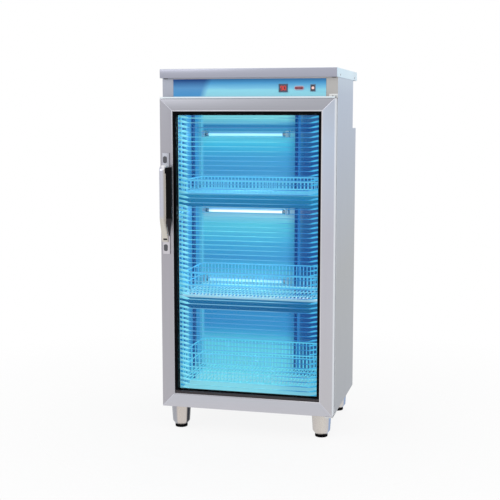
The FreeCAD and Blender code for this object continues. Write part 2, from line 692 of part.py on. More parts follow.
def frontBeam(name, level):
    """A channel across the front, open at its rear, just below a basket's floor."""
    body = newBody(name)
    front, top, low = "frontY + beamSetback", f"{level} - gap", f"{level} - gap - beamHeight"
    rear = f"{front} + beamDepth"
    channel = [
        (front, low), (rear, low), (rear, f"{low} + runnerSheet"),
        (f"{front} + runnerSheet", f"{low} + runnerSheet"), (f"{front} + runnerSheet", f"{top} - runnerSheet"),
        (rear, f"{top} - runnerSheet"), (rear, top), (front, top),
    ]
    pad(body, "YZ", [channel], "-linerX + gap", "2 * (linerX - gap)")
    return body


def shelving():
    """Slotted uprights on both walls, runners on them and a channel beam under the front."""
    posts = [upright(f"upright_{start}_{hand}", side, start)
             for hand, side in (("left", -1), ("right", 1)) for start in ("uprightFrontY", "uprightRearY")]
    node("shelf_uprights", group("upright_set", posts))
    angles = [runner(f"runner_{level}_{hand}", side, level)
              for hand, side in (("left", -1), ("right", 1))
              for level in ("levelTop", "levelMiddle", "levelBottom")]
    node("shelf_runners", group("runner_set", angles))
    beams = [frontBeam(f"beam_{level}", level) for level in ("levelTop", "levelMiddle")]
    node("front_beams", group("beam_set", beams))


def ladder(name, plane, u, v, start, bar, wire, count, axis):
    """A flat welded panel: a bar frame and a row of wires from its lower to its upper bar."""
    (u0, u1), (v0, v1) = u, v
    body = newBody(name)
    inner = rectangle(f"{u0} + {bar}", f"{v0} + {bar}", f"{u1} - {bar}", f"{v1} - {bar}")
    pad(body, plane, [rectangle(u0, v0, u1, v1), inner], start, bar)
    pitch = f"(({u1}) - ({u0}) - 2 * {bar}) / ({count} + 1)"
    first = f"{u0} + {bar} + {pitch} - {wire} / 2"
    line = pad(body, plane, [rectangle(first, f"{v0} + {bar} / 2", f"{first} + {wire}", f"{v1} - {bar} / 2")],
               f"{start} + ({bar} - {wire}) / 2", wire)
    repeat(body, [line], axis, count, f"({count} - 1) * {pitch}")
    return body


def basket(label, level, rise):
    """A wire basket of five welded panels: floor, front, back and sides."""
    half = "basketHalf"
    back = "basketY + basketDepth"
    low, high = f"{level}", f"{level} + {rise}"
    panels = [
        ladder(label + "_floor", "XY", (f"-{half}", half), ("basketY", back), f"{level} - rimBar",
               "rimBar", "basketWire", "basketWires", "X"),
        ladder(label + "_rear", "XZ", (f"-{half}", half), (low, high), f"{back} - rimBar",
               "rimBar", "basketWire", "basketWires", "X"),
        ladder(label + "_front", "XZ", (f"-{half}", half), (low, f"{level} + {rise} / 2 + 2"), "basketY",
               "rimBar", "basketWire", "frontWires", "X"),
    ]
    for side, x in (("left", f"-{half}"), ("right", f"{half} - rimBar")):
        panels.append(ladder(f"{label}_{side}", "YZ", ("basketY + rimBar", f"{back} - rimBar"),
                             (low, high), x, "rimBar", "basketWire", "sideWires", "Y"))
    node(label, group(label + "_panels", panels))


def lamps():
    """Three germicidal tubes, each with its caps, its two holders and a reflector trough."""
    tubes, caps, holders, troughs = [], [], [], []
    for z in ("lampTopHeight", "lampMiddleHeight", "lampLowerHeight"):
        tubes.append(prism("tube_" + z, "lampLeft + lampCap", "lampY", z, "lampRadius",
                           "lampSpan - 2 * lampCap", "24", "x"))
        for k, x in enumerate(("lampLeft", "lampRight - lampCap")):
            caps.append(prism(f"cap_{z}{k}", x, "lampY", z, "lampRadius + capProud", "lampCap", "16", "x"))
        for k, x in enumerate(("lampLeft - holderThickness - gap / 2", "lampRight + gap / 2")):
            holders.append(block(f"holder_{z}{k}", x, "lampY - holderNose", f"{z} - holderHeight / 2",
                                 "holderThickness", "holderNose + lampStand - gap", "holderHeight"))
        trough = newBody("trough_" + z)
        back, front = "chamberBackY - gap", "lampY + lampRadius + capProud + gap"
        bend = [
            (back, f"{z} - troughHeight / 2"), (back, f"{z} + troughHeight / 2"),
            (f"{back} - troughSheet", f"{z} + troughHeight / 2"), (front, f"{z} + troughRidge / 2"),
            (front, f"{z} - troughRidge / 2"), (f"{back} - troughSheet", f"{z} - troughHeight / 2"),
        ]
        pad(trough, "YZ", [bend], "lampLeft", "lampSpan")
        troughs.append(trough)
    node("lamp_tubes", group("tube_set", tubes))
    node("lamp_caps", group("cap_set", caps))
    node("lamp_holders", group("holder_set", holders))
    node("lamp_reflectors", group("trough_set", troughs))


def machineDeck():
    """What stands on the chamber's deck under the cover: ballasts, board, transformer, terminals."""
    left, right = "-fanSize / 2 - deckClear", "fanSize / 2 + deckClear"
    ballasts = [block(f"ballast{k}", f"{left} - {k + 1} * ballastWidth - {k} * deckClear",
                      "frontY + screwSetback",
                      "deckTop", "ballastWidth", "ballastLength", "ballastHeight") for k in range(3)]
    node("lamp_ballasts", group("ballast_set", ballasts))
    front = "faceBackY + housingDepth + 3 * deckClear"
    board = block("board", right, front, "deckTop + boardStand", "boardWidth", "boardDepth", "boardSheet")
    posts = [block(f"post{x}{y}", f"{right} + {x} * (boardWidth - boardFoot)",
                   f"{front} + {y} * (boardDepth - boardFoot)",
                   "deckTop", "boardFoot", "boardFoot", "boardStand") for x in (0, 1) for y in (0, 1)]
    node("control_board", fuse("board_on_posts", [board] + posts))
    behind = f"{front} + boardDepth + deckClear"
    node("transformer", block("transformer_core", f"{right} + boardWidth / 2", behind, "deckTop",
                              "transformerWidth", "transformerDepth", "transformerHeight"))
    node("terminal_block", block("terminals", f"{right} + boardWidth / 2",
                                 f"{behind} + transformerDepth + deckClear",
                                 "deckTop", "terminalWidth", "terminalDepth", "terminalHeight"))


def fan():
    """The circulation fan over the deck's slots: a ring with a motor base and shaft, and its wheel."""
    half, centre = "fanSize / 2", "frontY + fanSetback"
    hole = prism("fan_hole", "0", centre, "deckTop - 1", f"{half} - fanRim", "fanDepth + 2", "24")
    case = block("fan_case", f"-{half}", f"{centre} - {half}", "deckTop", "fanSize", "fanSize", "fanDepth")
    base = prism("fan_motor", "0", centre, "deckTop", "fanHub - 1", "fanBase", "16")
    arms = [block("fan_arm_x", f"-{half}", f"{centre} - fanBase / 2", "deckTop", "fanSize", "fanBase",
                  "fanBase / 2"),
            block("fan_arm_y", "-fanBase / 2", f"{centre} - {half}", "deckTop", "fanBase", "fanSize",
                  "fanBase / 2")]
    shaft = rod("fan_shaft", "0", centre, "deckTop", "fanShaft", "fanDepth - fanBase")
    node("fan_frame", fuse("fan_body", [cut("fan_ring", case, [hole]), base, shaft] + arms))
    hub = prism("fan_hub", "0", centre, "deckTop + fanBase + 1", "fanHub", "fanDepth - 2 * fanBase", "16")
    blades = []
    for k in range(int(number("fanBlades"))):
        blade = block(f"blade{k}", "0", "0", "0", f"{half} - fanRim - bladeTip", "bladeChord", "bladeSheet")
        turn = Rotation(Vector(0, 0, 1), 360.0 * k / number("fanBlades"))
        blade.Placement = Placement(Vector(), turn * Rotation(Vector(1, 0, 0), number("bladePitch")))
        blades.append(at(blade, "0", centre, "deckTop + 2 * fanBase"))
    bore = rod("fan_bore", "0", centre, "deckTop", "fanShaft + fanClearance", "fanDepth")
    node("fan_rotor", cut("fan_wheel", fuse("fan_blades", [hub] + blades), [bore]))


def cableGland():
    """A hexagonal nut and a hollow thread through the recess panel."""
    height = "recessFloor + glandRise"
    nut = prism("gland_nut", "glandAcross", "recessY + gap", height, "glandRadius", "glandThread", "6", "y")
    thread = prism("gland_thread", "glandAcross", "recessY - skin - glandThread", height, "glandThread",
                   "skin + 4 * glandThread", "16", "y")
    passage = rod("gland_passage", "glandAcross", "recessY - recessDepth", height, "glandBore",
                  "2 * recessDepth", "y")
    node("cable_gland", cut("gland", fuse("gland_body", [nut, thread]), [passage]))


def doorFrame():
    """Four mitred stainless channels, open at the back."""
    outer = {"l": "-doorX", "r": "doorX", "b": "doorBottom", "t": "doorTop"}
    inner = {"l": "-lightX", "r": "lightX", "b": "lightBottom", "t": "lightTop"}
    pieces = {
        "door_stile_left": (
            [("l", "b", 0), ("l", "b", 1), ("l", "t", 1), ("l", "t", 0)],
            ("skin - doorX", "doorBottom - 1", "-lightX - skin", "doorTop + 1")),
        "door_stile_right": (
            [("r", "b", 0), ("r", "b", 1), ("r", "t", 1), ("r", "t", 0)],
            ("lightX + skin", "doorBottom - 1", "doorX - skin", "doorTop + 1")),
        "door_rail_top": (
            [("l", "t", 0), ("l", "t", 1), ("r", "t", 1), ("r", "t", 0)],
            ("-doorX - 1", "lightTop + skin", "doorX + 1", "doorTop - skin")),
        "door_rail_bottom": (
            [("l", "b", 0), ("l", "b", 1), ("r", "b", 1), ("r", "b", 0)],
            ("-doorX - 1", "doorBottom + skin", "doorX + 1", "lightBottom - skin")),
    }
    profiles = {"door_stiles": [], "door_rails": []}
    for label, (corners, hollow) in pieces.items():
        loop = [((inner if k else outer)[h], (inner if k else outer)[v]) for h, v, k in corners]
        body = newBody(label)
        pad(body, "XZ", [loop], "doorFaceY", "doorDepth")
        pocket(body, "XZ", [rectangle(*hollow)], "doorFaceY + skin", "doorDepth")
        if "rail" in label:
            z = "doorTop - 2 * skin" if "top" in label else "doorBottom - skin"
            hole = prism(label + "_pin_hole", "hingeX", "hingeY", z, "hingePinRadius + 4 * gap",
                         "3 * skin", "16")
            profiles["door_rails"].append(cut(label + "_bored", body, [hole]))
        else:
            profiles["door_stiles"].append(body)
    for label, pair in profiles.items():
        node(label, group(label + "_pair", pair))


def ring(label, x, bottom, top, width, start, depth):
    """Four strips round an opening: two uprights and two cross pieces between them."""
    strips = [
        block(label + "_left", f"-({x})", start, bottom, width, depth, f"({top}) - ({bottom})"),
        block(label + "_right", f"({x}) - {width}", start, bottom, width, depth, f"({top}) - ({bottom})"),
        block(label + "_low", f"-({x}) + {width}", start, bottom, f"2 * (({x}) - {width})", depth, width),
        block(label + "_high", f"-({x}) + {width}", start, f"({top}) - {width}", f"2 * (({x}) - {width})",
              depth, width),
    ]
    return node(label, group(label + "_strips", strips))


def doorGlazing():
    """Black glazing strips, the glass behind them, the inner frame, and the magnetic seal."""
    ring("glazing_gasket", "lightX - gap", "lightBottom + gap", "lightTop - gap", "gasketWidth - gap",
         "doorFaceY + gasketSetback", "glassSetback - gasketSetback - gap")
    edge = "(gasketWidth - glassBite)"
    node("door_glass", block("glass", f"-lightX + {edge}", "paneY", f"lightBottom + {edge}",
                             f"2 * (lightX - {edge})", "glassThickness",
                             f"lightTop - lightBottom - 2 * {edge}"))
    ring("door_inner_frame", "doorX - skin - gap", "doorBottom + skin + gap", "doorTop - skin - gap",
         "innerFrameWidth", "doorBackY", "linerSkin")
    ring("glazing_bead", "lightX - gap", "lightBottom + gap", "lightTop - gap", "gasketWidth - 1",
         "paneBackY + gap", "doorBackY - paneBackY - 2 * gap")
    ring("magnetic_seal", "doorX - sealInset", "doorBottom + sealInset", "doorTop - sealInset", "sealWidth",
         "innerFrameY", "faceY - innerFrameY - gap")


def doorGuard():
    """The wire guard inside the door: wires with broad ends that rise to two upright carriers."""
    low, high = "lightBottom + 1", "lightTop - 1"
    edge = "(doorX - innerFrameWidth + 2 * guardWire)"
    body = newBody("guard")
    for x in (f"{edge} - carrierWidth", f"-{edge}"):
        pad(body, "XZ", [rectangle(x, low, f"{x} + carrierWidth", high)], "innerFrameY", "guardWire / 2")
    inner, outer = f"({edge} - toothLength)", f"({edge} - 1)"
    end = f"({low} + guardMargin)"
    run = f"({end} - toothRise)"
    thin, thick = "guardWire / 2", "toothHeight / 2"
    line = [
        (f"-{outer}", f"{end} - {thick}"), (f"-{inner}", f"{run} - {thin}"),
        (inner, f"{run} - {thin}"), (outer, f"{end} - {thick}"),
        (outer, f"{end} + {thick}"), (inner, f"{run} + {thin}"),
        (f"-{inner}", f"{run} + {thin}"), (f"-{outer}", f"{end} + {thick}"),
    ]
    wire = pad(body, "XZ", [line], "innerFrameY + guardWire / 2 - gap", "guardWire / 2")
    repeat(body, [wire], "Z", "guardWires", f"{high} - ({low}) - 2 * guardMargin")
    node("door_guard", body)


def hinges():
    """Pivot brackets on the body with their pins, and the bush blocks inside the door."""
    left, width, front = "hingeX - hingeWidth", "sideX - gap - hingeX + hingeWidth", "hingeY - hingeNose"
    top = "doorTop + hingeLift"
    pin_low = "doorTop - hingeBush + hingeLift"
    upper = fuse("bracket_top", [
        block("plate_top", left, front, top, width, f"faceY - gap - ({front})", "hingePlate"),
        rod("pin_top", "hingeX", "hingeY", pin_low, "hingePinRadius",
            f"{top} + hingePlate / 2 - ({pin_low})"),
        block("flange_top", left, "faceY - gap - hingePlate", top, width, "hingePlate", "hingeFlange"),
    ])
    base = "footHeight - hingePlate"
    clearance = rod("sleeve_clearance", "footX", "footFrontY", f"{base} - 1", "sleeveTopRadius + gap",
                    "hingePlate + 2")
    lower = fuse("bracket_bottom", [
        cut("plate_bottom", block("plate_sheet", left, front, base, width, f"faceY + hingeTail - ({front})",
                                  "hingePlate"), [clearance]),
        rod("pin_bottom", "hingeX", "hingeY", f"{base} + hingePlate / 2", "hingePinRadius",
            f"doorBottom + hingeBush - hingeLift - ({base} + hingePlate / 2)"),
    ])
    node("hinge_brackets", group("bracket_pair", [upper, lower]))
    bushes = []
    for label, z in (("bush_top", "doorTop - skin - gap - hingeBush"),
                     ("bush_bottom", "doorBottom + skin + gap")):
        bush = block(label + "_block", "hingeX - hingeWidth / 2", "doorFaceY + skin + gap", z,
                     "doorX - skin - gap - hingeX + hingeWidth / 2", "doorDepth - skin - 2 * gap",
                     "hingeBush")
        bore = rod(label + "_bore", "hingeX", "hingeY", f"{z} - 1", "hingePinRadius + hingeClearance",
                   "hingeBush + 2")
        bushes.append(cut(label, bush, [bore]))
    node("hinge_bushes", group("bush_pair", bushes))


def handle():
    """A pull handle: plate, hollow shell with a sloping foot, dark grip, and its screws."""
    plate = newBody("plate")
    half = "handlePlateWidth / 2"
    pad(plate, "XZ", [rectangle(f"handleX - {half}", "handleBottom", f"handleX + {half}",
                                "handleBottom + handleLength")], "plateY", "handlePlateSheet")
    node("handle_plate", plate)

    shell = newBody("shell")
    side = [
        ("plateY", "gripBottom"), ("plateY", "gripTop"), ("plateY - 2 * shellRound", "gripTop"),
        ("handleFrontY + shellRound", "gripTop - shellRound"), ("handleFrontY", "gripTop - 3 * shellRound"),
        ("handleFrontY", "gripBottom + gripSlope"),
        ("handleFrontY + shellRound", "gripBottom + gripSlope - 2 * shellRound"),
        ("plateY - shellRound", "gripBottom + shellWall"),
    ]
    pad(shell, "YZ", [side], "shellX", "shellWidth")
    hollow = [
        ("plateY + 1", "gripBottom + 3 * shellRound"), ("plateY + 1", "gripTop - shellWall"),
        ("plateY - 2 * shellRound", "gripTop - shellWall"),
        ("handleFrontY + shellRound + shellWall / 2", "gripTop - shellRound - shellWall"),
        ("handleFrontY + shellWall", "gripTop - 3 * shellRound - shellWall / 2"),
        ("handleFrontY + shellWall", "gripBottom + gripSlope"),
        ("plateY - shellRound", "gripBottom + 3 * shellWall"),
    ]
    pocket(shell, "YZ", [hollow], "shellX + shellWall", "shellWidth")
    node("handle_shell", shell)

    grip = newBody("grip")
    left, right = "shellX + shellWall + gap", "shellX + shellWidth + gripReach"
    section = [
        (left, "gripY"), (f"{right} - shellRound", "gripY"), (right, "gripY + shellRound"),
        (right, "gripY + gripDepth - shellRound"), (f"{right} - shellRound", "gripY + gripDepth"),
        (left, "gripY + gripDepth"),
    ]
    pad(grip, "XY", [section], "gripBottom + gripSlope + shellRound",
        "gripLength - gripSlope - 5 * shellRound")
    node("handle_grip", grip)
    heads = [prism(f"handle_screw{k}", "handleX", "plateY - screwProud", z, "screwHead", "screwProud",
                   "8", "y")
             for k, z in enumerate(("handleBottom + 4 * shellRound",
                                    "handleBottom + handleLength - 4 * shellRound"))]
    node("handle_screws", group("handle_screw_set", heads))


def sleeve(name, x, y):
    """A tapered sleeve with a chamfered lower rim, lofted through regular polygons."""
    rings = []
    for k, (radius, z) in enumerate((("sleeveTipRadius", "padHeight + gap"),
                                     ("sleeveShoulderRadius", "shoulderHeight"),
                                     ("sleeveTopRadius", "footHeight"))):
        ring = doc.addObject("Part::RegularPolygon", f"{name}_ring{k}")
        bind(ring, Polygon="footSides", Circumradius=radius)
        rings.append(at(ring, x, y, z))
    loft = doc.addObject("Part::Loft", name + "_taper")
    loft.Sections = rings
    loft.Solid = loft.Ruled = True
    bore = prism(name + "_bore", x, y, "0", "stemRadius + 2 * gap", "totalHeight / 2", "6")
    return cut(name, loft, [bore])


def feet():
    """Tapered sleeves under the base, each with a levelling foot in its bore."""
    sleeves = []
    for end, y in (("front", "footFrontY"), ("rear", "footRearY")):
        for hand, x in (("left", "-footX"), ("right", "footX")):
            name = f"{end}_{hand}"
            sleeves.append(sleeve(f"sleeve_{name}", x, y))
            tread = prism(f"pad_{name}", x, y, "0", "padRadius", "padHeight", "footSides")
            stem = prism(f"stem_{name}", x, y, "padHeight / 2", "stemRadius",
                         "footHeight - padHeight / 2 - gap", "6")
            node(f"foot_{name}", fuse(f"levelling_{name}", [tread, stem]))
    node("foot_sleeves", group("sleeve_set", sleeves))


def screws():
    """Screw heads on the cover's sides."""
    heads = []
    for side, x in (("left", "-coverWidth / 2 - screwProud"), ("right", "coverWidth / 2")):
        for k, y in enumerate(("frontY + screwSetback", "rearY - screwSetback")):
            heads.append(prism(f"cover_screw_{side}{k}", x, y, "coverBottom + screwRise", "screwHead",
                               "screwProud", "8", "x"))
    node("cover_screws", group("cover_screw_set", heads))


topCover()
sidePanel("side_panel_left", -1)
sidePanel("side_panel_right", 1)
backPanels()
baseParts()
controlStrip()
display()
ovalSwitch()
powerRocker()
chamber()
shelving()
basket("basket_top", "levelTop", "basketRise")
basket("basket_middle", "levelMiddle", "middleRise")
basket("basket_bottom", "levelBottom", "bottomRise")
lamps()
machineDeck()
fan()
cableGland()
doorFrame()
doorGlazing()
doorGuard()
hinges()
handle()
feet()
screws()

doc.recompute()
faults = [f"{thing.Name}: {thing.State}" for thing in doc.Objects
          if "Invalid" in thing.State or "Error" in thing.State]
faults += [piece.Label for piece in nodes if piece.Shape.isNull() or not piece.Shape.isValid()]
if faults:
    raise RuntimeError("failed objects: " + ", ".join(faults))
os.makedirs("parts", exist_ok=True)
for piece in nodes:
    piece.Shape.exportStep(f"parts/{piece.Label}.step")
print(len(nodes), "pieces written")
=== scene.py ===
import math

import bmesh
import bpy
import numpy as np
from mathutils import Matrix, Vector


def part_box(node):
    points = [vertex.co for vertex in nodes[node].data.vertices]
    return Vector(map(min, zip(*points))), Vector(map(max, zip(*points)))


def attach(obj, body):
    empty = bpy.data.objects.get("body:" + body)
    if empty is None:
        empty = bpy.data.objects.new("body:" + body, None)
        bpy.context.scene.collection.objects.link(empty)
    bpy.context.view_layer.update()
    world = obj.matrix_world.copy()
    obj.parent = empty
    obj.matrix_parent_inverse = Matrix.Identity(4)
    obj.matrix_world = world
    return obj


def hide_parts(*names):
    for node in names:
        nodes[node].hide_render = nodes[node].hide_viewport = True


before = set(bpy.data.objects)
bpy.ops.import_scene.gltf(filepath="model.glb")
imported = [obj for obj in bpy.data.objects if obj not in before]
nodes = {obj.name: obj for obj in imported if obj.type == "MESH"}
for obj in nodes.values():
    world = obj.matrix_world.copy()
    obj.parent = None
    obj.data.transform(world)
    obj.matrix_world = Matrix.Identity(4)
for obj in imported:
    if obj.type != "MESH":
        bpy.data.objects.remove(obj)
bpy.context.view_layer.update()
print("cabinet loaded,", len(nodes), "nodes")
mm = 0.001
meshing = {"weld": 2e-6, "sharp": 38}  # metres within which points merge, degrees past which an edge is sharp


def corners(node):
    # lowest and highest corner of a node, as arrays
    low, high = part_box(node)
    return np.array(low), np.array(high)


def skin(grid, loopRows=False):
    # the corners (i, j), (i, j+1), (i+1, j+1), (i+1, j) of every cell, with the columns wrapped round; the
    # rows wrap too where looped, and get one face over each end ring where not
    rows, columns = grid.shape[:2]
    i, j = np.meshgrid(np.arange(rows if loopRows else rows - 1), np.arange(columns), indexing="ij")
    above, right = (i + 1) % rows, (j + 1) % columns
    cells = [i * columns + j, i * columns + right, above * columns + right, above * columns + j]
    faces = np.stack(cells, -1).reshape(-1, 4).tolist()
    if not loopRows:
        faces += [list(range(columns))[::-1], list(range((rows - 1) * columns, rows * columns))]
    return grid.reshape(-1, 3), faces


def copies(one, axis, places):
    # the same points p at every place s along an axis: p + s
    points, faces = one
    shifts = np.zeros((len(places), 1, 3))
    shifts[:, 0, axis] = places
    everyPoint = (points[None] + shifts).reshape(-1, 3)
    return everyPoint, [[v + k * len(points) for v in face] for k in range(len(places)) for face in faces]


def together(shells):
    # several skins as one list of points and one of faces
    points, faces, count = [], [], 0
    for p, f in shells:
        points.append(p)
        faces += [[v + count for v in face] for face in f]
        count += len(p)
    return np.concatenate(points), faces


def makePiece(name, shells, body, finish, replaces=()):
    # welds equal points, turns every closed skin outwards and smooths all but the sharp edges
    points, faces = together(shells)
    mesh = bpy.data.meshes.new(name)
    mesh.from_pydata(points, [], faces)
    work = bmesh.new()
    work.from_mesh(mesh)
    bmesh.ops.remove_doubles(work, verts=work.verts, dist=meshing["weld"])
    bmesh.ops.dissolve_degenerate(work, dist=meshing["weld"], edges=work.edges)
    bmesh.ops.recalc_face_normals(work, faces=work.faces)
    work.to_mesh(mesh)
    work.free()
    mesh.polygons.foreach_set("use_smooth", np.ones(len(mesh.polygons), bool))
    mesh.set_sharp_from_angle(angle=math.radians(meshing["sharp"]))
    thing = bpy.data.objects.new(name, mesh)
    bpy.context.scene.collection.objects.link(thing)
    mesh.materials.append(finish)
    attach(thing, body)
    if replaces:
        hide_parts(*replaces)
    return thing


def quarterTurns(size, radius, steps):
    # corner centres (+-(w/2 - r), +-(h/2 - r)), and (cos t, sin t) over each corner's quarter turn
    turn = np.linspace(0, np.pi / 2, steps)[None] + np.arange(4)[:, None] * np.pi / 2
    centre = np.array([(1, 1), (-1, 1), (-1, -1), (1, -1)]) * (np.asarray(size) / 2 - radius)
    return centre[:, None], np.stack([np.cos(turn), np.sin(turn)], -1)


def roundedLoop(width, height, radius, steps=5):
    # centre + r (cos t, sin t) at each corner in turn
    centre, unit = quarterTurns((width, height), radius, steps)
    return (centre + radius * unit).reshape(-1, 2)


def easedBox(low, high, radius, steps=4):
    # a rounded rectangle at every height, drawn in by r (1 - sin t) at r (1 - cos t) from both ends
    low, high = np.asarray(low, float), np.asarray(high, float)
    lean = np.linspace(0, np.pi / 2, steps)
    inset, rise = radius * (1 - np.sin(lean)), radius * (1 - np.cos(lean))
    heights = np.concatenate([low[2] + rise, (high[2] - rise)[::-1]])
    insets = np.concatenate([inset, inset[::-1]])
    centre, unit = quarterTurns((high - low)[:2], radius, steps)
    flat = (high + low)[:2] / 2 + centre + (radius - insets)[:, None, None, None] * unit
    flat = flat.reshape(len(heights), -1, 2)
    return skin(np.concatenate([flat, np.broadcast_to(heights[:, None, None], flat.shape[:2] + (1,))], -1))


def turned(profile, centre, axis, sides):
    # (radius, height) round an axis through centre: r (cos t, sin t) across it, h along it
    profile = np.asarray(profile, float)
    turn = np.linspace(0, 2 * np.pi, sides, endpoint=False)
    grid = np.zeros((len(profile), sides, 3))
    across = [k for k in range(3) if k != axis]
    grid[..., across[0]] = profile[:, :1] * np.cos(turn)
    grid[..., across[1]] = profile[:, :1] * np.sin(turn)
    grid[..., axis] = profile[:, 1:]
    return skin(grid + np.asarray(centre, float))


def dished(loop, centre, rows):
    # a loop (x, z) about a centre, scaled by each row's share and set back by its depth
    x, y, z = centre
    return skin(np.array([np.insert(loop * share + (x, z), 1, y + depth, 1) for share, depth in rows]))


def bent(points, radius, steps=4):
    # every inner corner b becomes (1-t)^2 a + 2t(1-t) b + t^2 c, with a and c one radius from it
    points = np.asarray(points, float)
    before, corner, after = points[:-2], points[1:-1], points[2:]
    a = corner + (before - corner) / np.linalg.norm(before - corner, axis=1, keepdims=True) * radius
    c = corner + (after - corner) / np.linalg.norm(after - corner, axis=1, keepdims=True) * radius
    t = np.linspace(0, 1, steps)[None, :, None]
    curve = (1 - t) ** 2 * a[:, None] + 2 * t * (1 - t) * corner[:, None] + t ** 2 * c[:, None]
    return np.concatenate([points[:1], curve.reshape(-1, 3), points[-1:]])


def rod(path, radius, reference=(0, 0, 1), sides=6, loop=False):
    # path + r1 cos t side + r2 sin t lift, with side = tangent x reference and lift = side x tangent
    path = np.asarray(path, float)
    step = np.roll(path, -1, 0) - np.roll(path, 1, 0) if loop else np.gradient(path, axis=0)
    tangent = step / np.linalg.norm(step, axis=1, keepdims=True)
    side = np.cross(tangent, reference)
    side /= np.linalg.norm(side, axis=1, keepdims=True)
    lift = np.cross(side, tangent)
    reach = np.broadcast_to(radius, (len(path), 2))
    turn = np.linspace(0, 2 * np.pi, sides, endpoint=False)
    grid = (path[:, None] + reach[:, :1, None] * np.cos(turn)[None, :, None] * side[:, None]
            + reach[:, 1:, None] * np.sin(turn)[None, :, None] * lift[:, None])
    return skin(grid, loopRows=loop)


def loopPath(low, high, height, radius, steps=4):
    # a rounded rectangle lying flat at one height
    low, high = np.asarray(low), np.asarray(high)
    return np.insert(roundedLoop(*(high - low), radius, steps) + (low + high) / 2, 2, height, 1)


class Value:
    # one shader socket; an expression on it adds the Math nodes
    def __init__(self, finish, socket):
        self.finish, self.socket = finish, socket

    def math(self, operation, *sides):
        return self.finish.add("ShaderNodeMath", {"operation": operation}, dict(enumerate(sides)))

    def run(self, operation, *others):
        return self.math(operation, self, *others)

    def __add__(self, other):
        return self.math("ADD", self, other)

    def __radd__(self, other):
        return self.math("ADD", other, self)

    def __sub__(self, other):
        return self.math("SUBTRACT", self, other)

    def __rsub__(self, other):
        return self.math("SUBTRACT", other, self)

    def __mul__(self, other):
        return self.math("MULTIPLY", self, other)

    def __rmul__(self, other):
        return self.math("MULTIPLY", other, self)

    def __truediv__(self, other):
        return self.math("DIVIDE", self, other)

    def within(self, low, high):
        # 0 below low, 1 above high, straight between
        return self.finish.add("ShaderNodeMapRange", {"clamp": True}, {0: self, 1: low, 2: high})


class Finish:
    def __init__(self, name, owner=None):
        # a new material, or the node tree of another owner, such as a world
        self.material = owner or bpy.data.materials.new(name)
        self.material.use_nodes = True
        self.tree = self.material.node_tree
        self.tree.nodes.clear()

    def add(self, kind, settings=None, sockets=None, output=0):
        # a node with its settings, each socket set to a plain value or linked to a Value
        made = self.tree.nodes.new(kind)
        for key, value in (settings or {}).items():
            if key == "stops":
                while len(made.color_ramp.elements) < len(value):
                    made.color_ramp.elements.new(0.5)
                for stop, (position, colour) in zip(made.color_ramp.elements, value):
                    stop.position, stop.color = position, colour
            else:
                setattr(made, key, value)
        for key, value in (sockets or {}).items():
            if isinstance(value, Value):
                self.tree.links.new(value.socket, made.inputs[key])
            else:
                made.inputs[key].default_value = value
        return Value(self, made.outputs[output]) if made.outputs else None

    def point(self):
        # the point on the piece
        return self.add("ShaderNodeTexCoord", output="Object")

    def places(self, axes="XYZ"):
        # where the point lies along each of the axes
        return [self.add("ShaderNodeSeparateXYZ", {}, {0: self.point()}, axis) for axis in axes]

    def noise(self, stretch, detail=3.0):
        # noise with about that many spots to the metre along each axis
        moved = self.add("ShaderNodeMapping", {}, {"Vector": self.point(), "Scale": stretch})
        return self.add("ShaderNodeTexNoise", {}, {"Vector": moved, "Scale": 1.0, "Detail": detail})

    def ramp(self, factor, stops):
        # stops are (place, colour)
        return self.add("ShaderNodeValToRGB", {"stops": stops}, {0: factor})

    def byHeight(self, z, rows):
        # rows are (height in metres, colour), blended straight between; one row is the same all over
        if len(rows) == 1:
            return rows[0][1]
        low, high = min(rows)[0], max(rows)[0]
        stops = [(float((height - low) / (high - low)), colour) for height, colour in sorted(rows)]
        return self.ramp(z.within(low, high), stops)

    def mix(self, factor, first, second):
        return self.add("ShaderNodeMix", {"data_type": "RGBA"}, {0: factor, 6: first, 7: second}, 2)

    def bump(self, height, strength, distance):
        return self.add("ShaderNodeBump", {}, {"Height": height, "Strength": strength, "Distance": distance})

    def surface(self, **sockets):
        # a principled shader; an underscore in a name stands for a space
        shader = self.add("ShaderNodeBsdfPrincipled", {}, {k.replace("_", " "): v for k, v in sockets.items()})
        self.add("ShaderNodeOutputMaterial", {}, {0: shader})
        return self.material


def tint(red, green, blue):
    # a screen colour out of 255 as linear light
    screen = np.array([red, green, blue]) / 255
    linear = np.where(screen > 0.04045, ((screen + 0.055) / 1.055) ** 2.4, screen / 12.92)
    return tuple(float(v) for v in linear) + (1.0,)


steelLook = {"fine": 1400.0, "long": 9.0, "grain": 0.16, "grainFrom": 0.35, "cloud": 0.10, "cloudFrom": 0.4,
             "cloudSize": (5.0, 5.0, 3.0), "shade": (0.30, 0.31, 0.34, 1.0), "metal": 0.85, "roughness": 0.34,
             "spread": 0.16, "bump": (0.06, 0.0004), "rightward": (0.0, 0.28)}
# where the returns face front; front colours these faces with painted light and shade by facing
frontFaces = {"x": (-0.1, 0.1), "z": (1.131, 1.137), "y": (-161.9 * mm, -161.2 * mm)}


